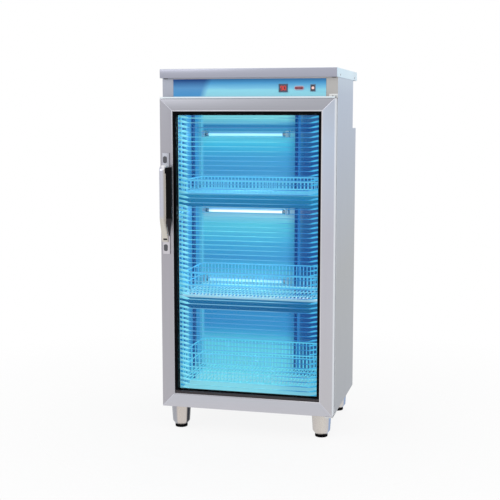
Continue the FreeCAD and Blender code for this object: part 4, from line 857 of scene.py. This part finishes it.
makeMitres()
makeLip()
makeHem()
makeStrip()
print("door frame made")

guardShape = {"wires": 60, "wire": 1.35 * mm, "tooth": (38 * mm, 34 * mm), "toothHalf": (4.1 * mm, 3.0 * mm),
              "toothDepth": 0.8 * mm, "rise": 7 * mm, "margin": 14 * mm, "carrier": 8 * mm, "overlap": 1 * mm,
              "back": 0.2 * mm, "strip": 1.5 * mm, "stripEase": 0.5 * mm,
              "along": (0.0, 0.03, 0.35, 0.62, 0.78, 0.88, 1.0),
              "narrow": (0.25, 0.0, 0.0, 0.08, 0.35, 0.85, 1.0)}


def makeGuard():
    # each wire falls by rise u along its broad end, u from 0 to 1, and thins from the tooth to the wire
    shape = guardShape
    low, high = corners("door_guard")
    carrier, wire, depth = shape["carrier"], shape["wire"], shape["toothDepth"]
    outer = high[0] - carrier + shape["overlap"]
    u, narrow = np.array(shape["along"]), np.array(shape["narrow"])
    leftTooth, rightTooth = shape["tooth"]
    x = np.concatenate([-outer + u * leftTooth, (outer - u * rightTooth)[::-1]])
    half = np.repeat(shape["toothHalf"], len(u))
    share, narrow = np.concatenate([u, u[::-1]]), np.concatenate([narrow, narrow[::-1]])
    y = np.full(len(x), (low[1] + high[1]) / 2 + shape["back"])
    radii = np.stack([depth + (wire - depth) * narrow, half + (wire - half) * narrow], 1)
    one = rod(np.stack([x, y, -shape["rise"] * share], 1), radii, sides=8)
    heights = np.linspace(low[2] + shape["margin"], high[2] - shape["margin"], shape["wires"])
    strips = [easedBox((left, low[1], low[2]), (left + carrier, low[1] + shape["strip"], high[2]),
                       shape["stripEase"], 3) for left in (low[0], high[0] - carrier)]
    makePiece("guard_wires", [copies(one, 2, heights)] + strips, "door", finishes["guard"],
              ["door_guard"])


makeGuard()
print("guard made")

basketShape = {"across": 38, "deep": 6, "rim": 2.5 * mm, "wire": 1.5 * mm, "corner": 14 * mm, "bend": 7 * mm,
               "sideGap": 9 * mm, "endGap": 12 * mm, "band": 1.4, "floorBand": 2.2, "middleOver": 60 * mm}


def makeBasket(level):
    # U-shaped wires down the rear, along the floor and up the front, others across, and a rim round the top
    shape = basketShape
    low, high = corners("basket_" + level)
    rim, wire, bend = shape["rim"], shape["wire"], shape["bend"]
    top, floor = high[2] - rim, low[2] + wire
    x0, x1, y0, y1 = low[0] + rim, high[0] - rim, low[1] + rim, high[1] - rim
    deepWire = rod(bent([(0, y1, top), (0, y1, floor), (0, y0, floor), (0, y0, top)], bend), wire, (1, 0, 0))
    over = floor + 2 * wire
    wideWire = rod(bent([(x0, 0, top), (x0, 0, over), (x1, 0, over), (x1, 0, top)], bend), wire, (0, 1, 0))
    across = np.linspace(x0 + shape["sideGap"], x1 - shape["sideGap"], shape["across"])
    deep = np.linspace(y0 + shape["endGap"], y1 - shape["endGap"], shape["deep"])
    shells = [copies(deepWire, 0, across), copies(wideWire, 1, deep)]
    bands = [(top, rim), (floor + shape["floorBand"] * wire, wire * shape["band"])]
    if top - floor > shape["middleOver"]:
        bands.append(((top + floor) / 2, wire * shape["band"]))
    for height, thick in bands:
        path = loopPath((x0, y0), (x1, y1), height, shape["corner"])
        shells.append(rod(path, thick, sides=8, loop=True))
    makePiece("wire_basket_" + level, shells, level + "_basket", finishes["basket"],
              ["basket_" + level])


for level in ("top", "middle", "bottom"):
    makeBasket(level)
print("baskets made")

wallLines = {"low": 135 * mm, "high": 1085 * mm, "bed": 0.3 * mm, "left": 91 * mm, "seam": 103 * mm,
             "right": 112 * mm, "channelThick": 1.0 * mm, "flangeThick": 3.0 * mm, "sideFront": -84 * mm,
             "sideRear": -71 * mm, "sideThick": 1.5 * mm}


def wallLine(name, x, y, ease, steps, finish):
    # an eased upright strip between two x and two y, its back bedded in the wall
    line = easedBox((x[0], y[0], wallLines["low"]), (x[1], y[1], wallLines["high"]), ease, steps)
    makePiece(name, [line], "cabinet", finishes[finish])


rearFace = float(corners("liner_back")[0][1])
leftFace = float(corners("shelf_uprights")[0][0])
wallLine("rear_post_channel", (wallLines["left"], wallLines["seam"]),
         (rearFace - wallLines["channelThick"], rearFace + wallLines["bed"]), 0.3 * mm, 3, "postDark")
wallLine("rear_post_flange", (wallLines["seam"], wallLines["right"]),
         (rearFace - wallLines["flangeThick"], rearFace + wallLines["bed"]), 0.8 * mm, 4, "postLight")
wallLine("left_wall_strip", (leftFace - wallLines["bed"], leftFace + wallLines["sideThick"]),
         (wallLines["sideFront"], wallLines["sideRear"]), 0.3 * mm, 3, "stripLight")
print("wall lines made")

lampShape = {"cap": 12 * mm, "slim": 0.82, "ease": 1 * mm, "inner": 0.6 * mm, "sides": 32}


def makeLamps():
    # tubes and caps turned round each lamp's axis, with eased ends
    shape = lampShape
    low, high = corners("lamp_tubes")
    capLow, capHigh = corners("lamp_caps")
    radius = float(high[1] - low[1]) / 2 * shape["slim"]
    capRadius, ease, sides = float(capHigh[1] - capLow[1]) / 2, shape["ease"], shape["sides"]
    tubes, caps = [], []
    for z in lampHeights:
        centre = (0, (low[1] + high[1]) / 2, z)
        tubes.append(turned([(0, low[0]), (radius, low[0]), (radius, high[0]), (0, high[0])], centre, 0, sides))
        for start, way in ((capLow[0], 1), (capHigh[0], -1)):
            end = start + shape["cap"] * way
            caps.append(turned([(0, start), (capRadius - ease, start), (capRadius, start + ease * way),
                                (capRadius, end - ease * way), (capRadius - shape["inner"], end), (0, end)],
                               centre, 0, sides))
    makePiece("lit_tubes", tubes, "cabinet", finishes["tube"], ["lamp_tubes"])
    makePiece("tube_caps", caps, "cabinet", finishes["screw"], ["lamp_caps"])


makeLamps()
print("lamps made at", [round(h, 3) for h in lampHeights])

footShape = {  # (radius, height) in mm
    "base": [(13, 1), (21.4, 0), (22, 0.3)],  # above the sleeve's lower edge
    "belly": [(29, 21.2), (29.6, 22.2), (29.9, 23.5)],  # above the ground
    "top": [(33.6, -4), (34, 0), (13, 0)],  # from the sleeve's upper edge
    "pad": [(0, 0), (19.6, 0), (21, 0.5), (21.5, 2), (21.5, 8.8), (20.8, 10.1), (19, 10.5), (0, 10.5)],
    "stemRadius": 10.4, "stemLow": 9, "stemDrop": 1, "sides": 48, "flats": 6,
}


def makeFeet():
    # a sleeve, and a pad with its six-sided stem, turned round each foot's axis
    shape = footShape
    base, top = [float(v[2]) for v in corners("foot_sleeves")]
    sleeve = np.concatenate([np.array(shape["base"]) * mm + (0, base), np.array(shape["belly"]) * mm,
                             np.array(shape["top"]) * mm + (0, top)])
    radius, low, high = shape["stemRadius"] * mm, shape["stemLow"] * mm, top - shape["stemDrop"] * mm
    sleeves = []
    for name in [n for n in nodes if n.startswith("foot_") and n != "foot_sleeves"]:
        x, y, _ = sum(corners(name)) / 2
        sleeves.append(turned(sleeve, (x, y, 0), 2, shape["sides"]))
        pad = turned(np.array(shape["pad"]) * mm, (x, y, 0), 2, shape["sides"])
        stem = turned([(0, low), (radius, low), (radius, high), (0, high)], (x, y, 0), 2, shape["flats"])
        body = name.replace("foot_", "") + "_foot"
        makePiece(name + "_pad", [pad, stem], body, finishes["rubber"], [name])
    makePiece("leg_sleeves", sleeves, "cabinet", finishes["sleeve"], ["foot_sleeves"])


makeFeet()
print("feet made")

shellShape = {"topRound": 15 * mm, "slope": 62 * mm, "footReach": 7 * mm, "edge": 4.2 * mm, "edgeShare": 0.45,
              "footLean": -4.5 * mm, "footWide": 0.15, "tail": 19 * mm, "tailSlope": 0.2, "capTall": 5 * mm,
              "flank": 3.6 * mm, "head": 24 * mm, "headStep": (-0.5 * mm, 2.5 * mm)}
plateLow, plateHigh = corners("handle_plate")
shellLow, shellHigh = corners("handle_shell")
gripLow, gripHigh = corners("handle_grip")


def makeHandleShell():
    # at every height a rounded rectangle that reaches forward by the lesser of the slope and the round top
    shape = shellShape
    stand, foot, crown = float(shellHigh[1] - shellLow[1]), shape["footReach"], shape["topRound"]
    height = float(shellHigh[2] - shellLow[2]) - shape["capTall"]
    headLow, tail = height - shape["head"], shape["tail"]
    rise = np.concatenate([[-tail, -tail + 1 * mm], np.linspace(0, shape["slope"] * 1.15, 14),
                           headLow + np.array(shape["headStep"]),
                           height - crown * (1 - np.sin(np.linspace(0, np.pi / 2, 9)))])
    up = np.clip(rise / shape["slope"], 0, 1)  # 0 at the foot, 1 where the slope ends
    slope = foot + (stand - foot) * up + np.clip(rise, -1, 0) * shape["tailSlope"]
    near = np.clip((rise - height + crown) / crown, 0, 1)
    rounded = stand - crown * (1 - np.sqrt(1 - near ** 2))
    reach = np.minimum(slope, rounded)
    more = shape["flank"] * up * (rise < headLow)
    width = float(shellHigh[0] - shellLow[0]) * (1 + shape["footWide"] - shape["footWide"] * up) + more
    centre = (shellLow[0] + shellHigh[0]) / 2 + shape["footLean"] * (1 - up) + more / 2
    rings = []
    for w, r, h, x in zip(width, reach, rise, centre):
        loop = roundedLoop(w, r, min(shape["edge"], r * shape["edgeShare"])) + (x, shellHigh[1] - r / 2)
        rings.append(np.insert(loop, 2, shellLow[2] + h, 1))
    makePiece("pull_shell", [skin(np.array(rings))], "door", finishes["pull"], ["handle_shell"])


gripShape = {"rise": 13 * mm, "wedge": 60 * mm, "wedgeLean": 10 * mm, "point": 0.04, "crown": 9 * mm,
             "rib": 6.5 * mm, "ribDepth": 0.035, "overlap": 3 * mm, "tip": 0.55, "leastWide": 0.05,
             "leastDeep": 0.3, "corner": 0.32, "rings": 120}


def makeGrip():
    # at every height a rounded rectangle, its width the product of a wedge that rises from a point, a round
    # crown and the ribs 1 - d (1 + cos t) / 2
    shape = gripShape
    low, high = gripLow[2] - shape["wedge"], gripHigh[2] + shape["rise"]
    z = low + (high - low) * np.linspace(0, 1, shape["rings"])
    wedge = np.clip((z - low) / (gripLow[2] - low), shape["point"], 1)
    near = np.clip((z - high + shape["crown"]) / (shape["crown"] + 0.01 * mm), 0, 1)
    crown = np.sqrt(1 - near ** 2)
    wave = 0.5 + 0.5 * np.cos((z - low) / shape["rib"] * 2 * np.pi)
    ribs = 1 - shape["ribDepth"] * wave * (wedge >= 1)
    start = shellHigh[0] - shape["overlap"]
    right = gripHigh[0] - shape["wedgeLean"] * (1 - wedge)
    width = (right - start) * np.maximum(wedge * crown * ribs, shape["leastWide"])
    lean = np.maximum(shape["tip"] + (1 - shape["tip"]) * wedge, shape["leastDeep"])
    depth = (gripHigh[1] - gripLow[1]) * lean * np.maximum(crown, shape["leastDeep"])
    middle = (gripLow[1] + gripHigh[1]) / 2
    rings = [np.insert(roundedLoop(w, d, min(w, d) * shape["corner"], 4) + (r - w / 2, middle), 2, h, 1)
             for w, d, h, r in zip(width, depth, z, right)]
    makePiece("pull_grip", [skin(np.array(rings))], "door", finishes["grip"], ["handle_grip"])


plateShape = {"edge": 1.3 * mm, "left": 3.2 * mm, "wellWide": 14 * mm, "wellTall": 23 * mm,
              "wellCorner": 5.6 * mm, "wellLow": 21.5 * mm, "wellHigh": 22.5 * mm, "slotDrop": 9 * mm,
              "slotHalf": 7 * mm, "slotTall": 3.2 * mm, "slotIn": 0.8 * mm, "slotBack": 4 * mm,
              "slotEdge": 1.5 * mm,
              "wellRows": [(1.0, 0.6 * mm), (1.0, -0.15 * mm), (0.92, -0.35 * mm), (0.7, -0.1 * mm)]}
capShape = {"backLeft": 6 * mm, "backRight": 2.5 * mm, "backFront": 1 * mm, "backRear": 2 * mm,
            "backLow": 9.5 * mm, "backHigh": 0.3 * mm, "backEdge": 3.6 * mm, "noseLeft": 8 * mm,
            "noseRight": 1 * mm, "noseFront": 0.4 * mm, "noseRear": 14 * mm, "noseLow": 19 * mm,
            "noseHigh": 1.2 * mm, "noseEdge": 3.4 * mm}


def makePlate():
    # a flat plate with eased edges
    plate = easedBox(plateLow, plateHigh, plateShape["edge"])
    makePiece("pull_plate", [plate], "door", finishes["pullPlate"], ["handle_plate"])


def makeWells():
    # the wells of the plate's two screws, whose dark grey is the screws' own and painted shade in the wells,
    # and the latch slot below the pull
    shape = plateShape
    x = (plateLow[0] + plateHigh[0]) / 2 - shape["left"]
    loop = roundedLoop(shape["wellWide"], shape["wellTall"], shape["wellCorner"], 6)
    wells = [dished(loop, (x, plateLow[1], z), shape["wellRows"])
             for z in (plateLow[2] + shape["wellLow"], plateHigh[2] - shape["wellHigh"])]
    makePiece("handle_screw_wells", wells, "door", finishes["darkScrew"], ["handle_screws"])
    z, y = shellLow[2] - shape["slotDrop"], plateLow[1] - shellShape["footReach"]
    half, tall = shape["slotHalf"], shape["slotTall"]
    makePiece("handle_latch_slot", [easedBox((x - half, y + shape["slotIn"], z - tall),
                                             (x + half, y + shape["slotBack"], z + tall),
                                             shape["slotEdge"])],
              "door", finishes["black"])


def makePullCap():
    # two eased blocks: one along the back of the pull's upper end, and a nose in front of it, near white as a
    # painted highlight
    shape = capShape
    left, right, front, top = shellLow[0], shellHigh[0], shellLow[1], shellHigh[2]
    back = easedBox((left + shape["backLeft"], gripLow[1] + shape["backFront"], top - shape["backLow"]),
                    (right + shape["backRight"], shellHigh[1] - shape["backRear"], top - shape["backHigh"]),
                    shape["backEdge"], 6)
    nose = easedBox((left + shape["noseLeft"], front + shape["noseFront"], top - shape["noseLow"]),
                    (right - shape["noseRight"], front + shape["noseRear"], top - shape["noseHigh"]),
                    shape["noseEdge"], 6)
    makePiece("pull_cap", [back, nose], "door", finishes["pullCap"])


makePlate()
makeHandleShell()
makeGrip()
makeWells()
makePullCap()
print("handle made")

digitShape = {"wide": 7 * mm, "tall": 12.5 * mm, "stroke": 1.7 * mm, "apart": 5 * mm, "proud": 0.35 * mm,
              "sunk": 0.25 * mm, "upper": tint(248, 70, 64), "lower": tint(225, 40, 44),
              "base": tint(150, 20, 20), "glow": 0.9,
              "lit": ((0, 1, 2, 3, 5, 6), (0, 1, 2, 4, 5, 6))}  # a 9 and a 0


def digitFinish():
    # glowing red with a slow drift
    shape = digitShape
    finish = Finish("red_digit")
    cloud = finish.noise((200.0, 200.0, 200.0), 1.0)
    red = finish.mix(cloud * 0.5, shape["upper"], shape["lower"])
    return finish.surface(Base_Color=shape["base"], Roughness=0.4, Emission_Color=red,
                          Emission_Strength=shape["glow"])


glossLook = {"cloud": (120.0, 120.0, 120.0), "spread": 0.1, "coat": 0.5}


def gloss(name, colour, second, strength=0.0, roughness=0.2):
    # moulded gloss plastic with a slow drift between two colours
    finish = Finish(name)
    cloud = finish.noise(glossLook["cloud"], 2.0)
    colour = finish.mix(cloud, colour, second)
    return finish.surface(Base_Color=colour, Coat_Weight=glossLook["coat"], Emission_Color=colour,
                          Roughness=(cloud - 0.5) * glossLook["spread"] + roughness, Emission_Strength=strength)


def segmentDigit(x, z, y, lit):
    # bars of a seven-segment digit: top, upper left, upper right, middle, lower left, lower right, bottom
    shape = digitShape
    w, h, s = shape["wide"], shape["tall"], shape["stroke"]
    flat, tall = (w - s, s), (s, h / 2 - s * 0.6)
    bars = [(0, h / 2, flat), (-w / 2, h / 4, tall), (w / 2, h / 4, tall), (0, 0, flat), (-w / 2, -h / 4, tall),
            (w / 2, -h / 4, tall), (0, -h / 2, flat)]
    return [easedBox((x + dx - a / 2, y - shape["proud"], z + dz - b / 2),
                     (x + dx + a / 2, y + shape["sunk"], z + dz + b / 2), shape["sunk"], 3)
            for dx, dz, (a, b) in [bars[k] for k in lit]]


def makeDisplay():
    # the rim and the pane, with two lit digits on it
    dress("display_bezel", gloss("display_rim", tint(78, 94, 124), tint(62, 66, 90)))
    dress("display_window", gloss("display_pane", tint(116, 42, 50), tint(88, 30, 38), roughness=0.08))
    low, high = corners("display_window")
    x, z = (low[0] + high[0]) / 2, (low[2] + high[2]) / 2
    digits = []
    for way, lit in zip((-1, 1), digitShape["lit"]):
        digits += segmentDigit(x + way * digitShape["apart"], z, low[1], lit)
    makePiece("display_digits", digits, "cabinet", digitFinish())


ovalShape = {"rimWide": 5.4 * mm, "rimTall": 7.6 * mm, "back": 2.2 * mm, "swell": 1.5 * mm,
             "shares": (1.0, 0.93, 0.82, 0.66, 0.45, 0.2)}


def makeOval():
    # a stadium drawn in to a line: at share s of its outline it lies swell s^3 behind its front
    shape = ovalShape
    dress("oval_switch_bezel", gloss("oval_rim", tint(222, 208, 226), tint(206, 188, 208)))
    front = float(corners("oval_switch_cap")[0][1])
    low, high = corners("oval_switch_bezel")
    centre = (low + high) / 2
    width, height = float(high[0] - low[0]) - shape["rimWide"], float(high[2] - low[2]) - shape["rimTall"]
    loop = roundedLoop(width, height, height / 2 - 0.01 * mm, 9)
    rings = []
    for s, back in [(1.0, shape["back"])] + [(s, shape["swell"] * s ** 3) for s in shape["shares"]]:
        reach = np.sign(loop[:, 0]) * np.maximum(np.abs(loop[:, 0]) - (1 - s) * height / 2, 0)
        flat = np.stack([centre[0] + reach, centre[2] + loop[:, 1] * s], 1)
        rings.append(np.insert(flat, 1, front + back, 1))
    makePiece("oval_button", [skin(np.array(rings))], "lamp_button",
              gloss("oval_red", tint(164, 70, 86), tint(128, 44, 60), 0.1, 0.12), ["oval_switch_cap"])


lensShape = [(0, 2.4), (4.6, 2.4), (4.6, 0.6), (3.8, -0.1), (0, -0.3)]  # (radius, depth in the key) in mm


def makeRocker():
    # the key and a round lens turned on its middle
    dress("power_rocker_bezel", gloss("rocker_rim", tint(118, 138, 168), tint(94, 106, 132)))
    dress("power_rocker_key", gloss("rocker_black", tint(58, 56, 72), tint(44, 42, 54)))
    low, high = corners("power_rocker_key")
    centre = ((low[0] + high[0]) / 2, 0, (low[2] + high[2]) / 2)
    lens = turned(np.array(lensShape) * mm + (0, low[1]), centre, 1, 28)
    makePiece("rocker_lens", [lens], "rocker",
              gloss("rocker_rose", tint(252, 222, 214), tint(236, 176, 164), 0.4, 0.15))


makeDisplay()
makeOval()
makeRocker()
print("controls made")

screwShape = {"radius": (0.0, 0.30, 0.42, 0.46, 0.7, 0.88, 0.97, 1.0, 1.0),
              "height": (0.25, 0.25, 0.28, 0.92, 0.96, 0.84, 0.55, 0.2, 0.0), "sides": 18}
boltShape = {"flange": 3.3 * mm, "boltIn": 15.4 * mm, "boltDrop": 7.6 * mm, "radius": 2.6 * mm,
             "proud": 1.0 * mm, "slotIn": 5.2 * mm, "slotDrop": 8.6 * mm, "slotWide": 9.6 * mm,
             "slotTall": 4.8 * mm, "slotCorner": 2.3 * mm,
             "slotRows": [(1.0, 1.0 * mm), (1.0, -0.3 * mm), (0.9, -0.5 * mm), (0.82, -0.2 * mm)]}
coverScrew = {"in": 4 * mm, "radius": 4 * mm, "proud": 0.98 * mm}


def screwHead(centre, way, radius, proud):
    # a domed button turned round its axis, down into a round socket in the middle
    axis = int(np.argmax(np.abs(way)))
    rows = np.stack([np.array(screwShape["radius"]) * radius,
                     np.array(screwShape["height"]) * proud * np.sign(way[axis])], 1)
    return turned(rows, centre, axis, screwShape["sides"])


def makeHingeBolts():
    # a bolt head and a slot on the flange of the upper hinge, the slot's dark a painted shade inside it
    shape = boltShape
    high = corners("hinge_brackets")[1]
    face = faceY - shape["flange"]
    bolt = screwHead((high[0] - shape["boltIn"], face, high[2] - shape["boltDrop"]), (0, -1, 0),
                     shape["radius"], shape["proud"])
    slot = roundedLoop(shape["slotWide"], shape["slotTall"], shape["slotCorner"], 6)
    window = dished(slot, (high[0] - shape["slotIn"], face, high[2] - shape["slotDrop"]), shape["slotRows"])
    makePiece("hinge_bolts", [bolt, window], "cabinet", finishes["darkScrew"])


def makeCoverScrews():
    # a head at the front and the rear screw of each side
    z = float(sum(corners("cover_screws"))[2]) / 2
    points = np.array([v.co for v in nodes["cover_screws"].data.vertices])
    heads = []
    for side in (-1, 1):
        depths = points[np.sign(points[:, 0]) == side][:, 1]
        for y in (depths.min() + coverScrew["in"], depths.max() - coverScrew["in"]):
            heads.append(screwHead((side * coverHigh[0], y, z), (side, 0, 0), coverScrew["radius"],
                                   coverScrew["proud"]))
    makePiece("cover_screw_heads", heads, "cabinet", finishes["screw"], ["cover_screws"])


makeHingeBolts()
makeCoverScrews()
print("hardware made")

stageLook = {"world": 0.72, "white": (1.0, 1.0, 1.0, 1.0), "floorGlow": 0.88, "floorRadius": 4.0,
             "floorSides": 96, "floorDrop": 0.6 * mm, "fade": (0.5, 1.7), "floor": (0.86, 0.86, 0.86, 1.0),
             "floorShade": (0.80, 0.80, 0.80, 1.0), "mottle": 0.05}
studioLights = [  # name, place, aim, size, power, colour
    ("key", (-2.0, -3.2, 2.6), (0, 0, 0.6), 2.2, 26.0, (1.0, 1.0, 1.0)),
    ("fill", (3.0, -1.6, 1.6), (0, 0, 0.6), 2.2, 12.0, (0.93, 0.97, 1.0)),
    ("top", (0.4, 1.2, 3.2), (0, 0, 0.8), 2.4, 10.0, (1.0, 1.0, 1.0)),
]
tubeLight = {"power": (0.048, 0.32, 0.32),  # lowest tube first
             "size": (0.18, 0.02), "colour": (0.55, 0.85, 1.0), "front": 12 * mm, "aimFront": 1.0,
             "aimDown": 0.35}
eye = {"place": (0.8487, -3.5561, 1.0804), "yaw": 13.959, "down": 7.287, "lens": 75.54, "sensor": 36.0}


def makeWorld():
    # plain light on the object, and white where the camera, a mirror or a pane looks past it
    sky = Finish("studio", bpy.data.worlds.new("studio"))
    seen = sky.add("ShaderNodeLightPath", output="Is Camera Ray")
    for other in ("Is Glossy Ray", "Is Transmission Ray"):
        seen = seen.run("MAXIMUM", sky.add("ShaderNodeLightPath", output=other))
    level = sky.add("ShaderNodeMapRange", {}, {0: seen, 3: stageLook["world"], 4: 1.0})
    shine = sky.add("ShaderNodeBackground", {}, {0: stageLook["white"], 1: level})
    sky.add("ShaderNodeOutputWorld", {}, {0: shine})
    bpy.context.scene.world = sky.material


def makeFloor():
    # a disc that takes the shadow near the cabinet and fades into the backdrop
    look = stageLook
    turn = np.linspace(0, 2 * np.pi, look["floorSides"], endpoint=False)
    flat = look["floorRadius"] * np.stack([np.cos(turn), np.sin(turn)], 1)
    mesh = bpy.data.meshes.new("floor")
    mesh.from_pydata(np.insert(flat, 2, -look["floorDrop"], 1), [], [list(range(len(turn)))])
    disc = bpy.data.objects.new("floor", mesh)
    bpy.context.scene.collection.objects.link(disc)
    paint = Finish("pale_floor")
    x, y = paint.places("XY")
    away = (x * x + y * y).run("SQRT").within(*look["fade"])
    mottle = paint.noise((3.0, 3.0, 3.0), 2.0) * look["mottle"]
    matt = paint.add("ShaderNodeBsdfDiffuse", {}, {0: paint.mix(mottle, look["floor"], look["floorShade"])})
    shine = paint.add("ShaderNodeEmission", {}, {0: look["white"], 1: 1.0})
    lit = paint.add("ShaderNodeMixShader", {}, {0: look["floorGlow"], 1: matt, 2: shine})
    clear = paint.add("ShaderNodeBsdfTransparent")
    faded = paint.add("ShaderNodeMixShader", {}, {0: away, 1: lit, 2: clear})
    paint.add("ShaderNodeOutputMaterial", {}, {0: faded})
    mesh.materials.append(paint.material)


def areaLight(name, place, aim, size, power, colour, height=None):
    # a square of light, or a rectangle where a height is given, facing its aim
    lamp = bpy.data.lights.new(name, "AREA")
    lamp.energy, lamp.size, lamp.color = power, size, colour
    if height:
        lamp.shape, lamp.size_y = "RECTANGLE", height
    thing = bpy.data.objects.new(name, lamp)
    bpy.context.scene.collection.objects.link(thing)
    thing.location = place
    thing.rotation_euler = (Vector(aim) - Vector(place)).to_track_quat("-Z", "Y").to_euler()


def makeLights():
    for light in studioLights:
        areaLight(*light)
    # a small lamp in front of each tube, turned down into the chamber
    low, high = corners("lamp_tubes")
    long, tall = tubeLight["size"]
    for k, (height, power) in enumerate(zip(lampHeights, tubeLight["power"])):
        place = ((low[0] + high[0]) / 2, low[1] - tubeLight["front"], height)
        aim = (0.0, low[1] - tubeLight["aimFront"], height - tubeLight["aimDown"])
        areaLight(f"tube_light_{k}", place, aim, long, power, tubeLight["colour"], tall)


def makeCamera():
    # the camera at eye, turned by yaw from straight on and tilted down
    camera = bpy.data.objects.new("camera", bpy.data.cameras.new("camera"))
    bpy.context.scene.collection.objects.link(camera)
    camera.location = eye["place"]
    camera.rotation_euler = (math.radians(90 - eye["down"]), 0.0, math.radians(eye["yaw"]))
    camera.data.lens, camera.data.sensor_width = eye["lens"], eye["sensor"]
    camera.data.sensor_fit = "HORIZONTAL"
    bpy.context.scene.camera = camera


makeWorld()
makeFloor()
makeLights()
makeCamera()
bpy.context.scene.view_settings.view_transform = "Standard"
print("stage made")
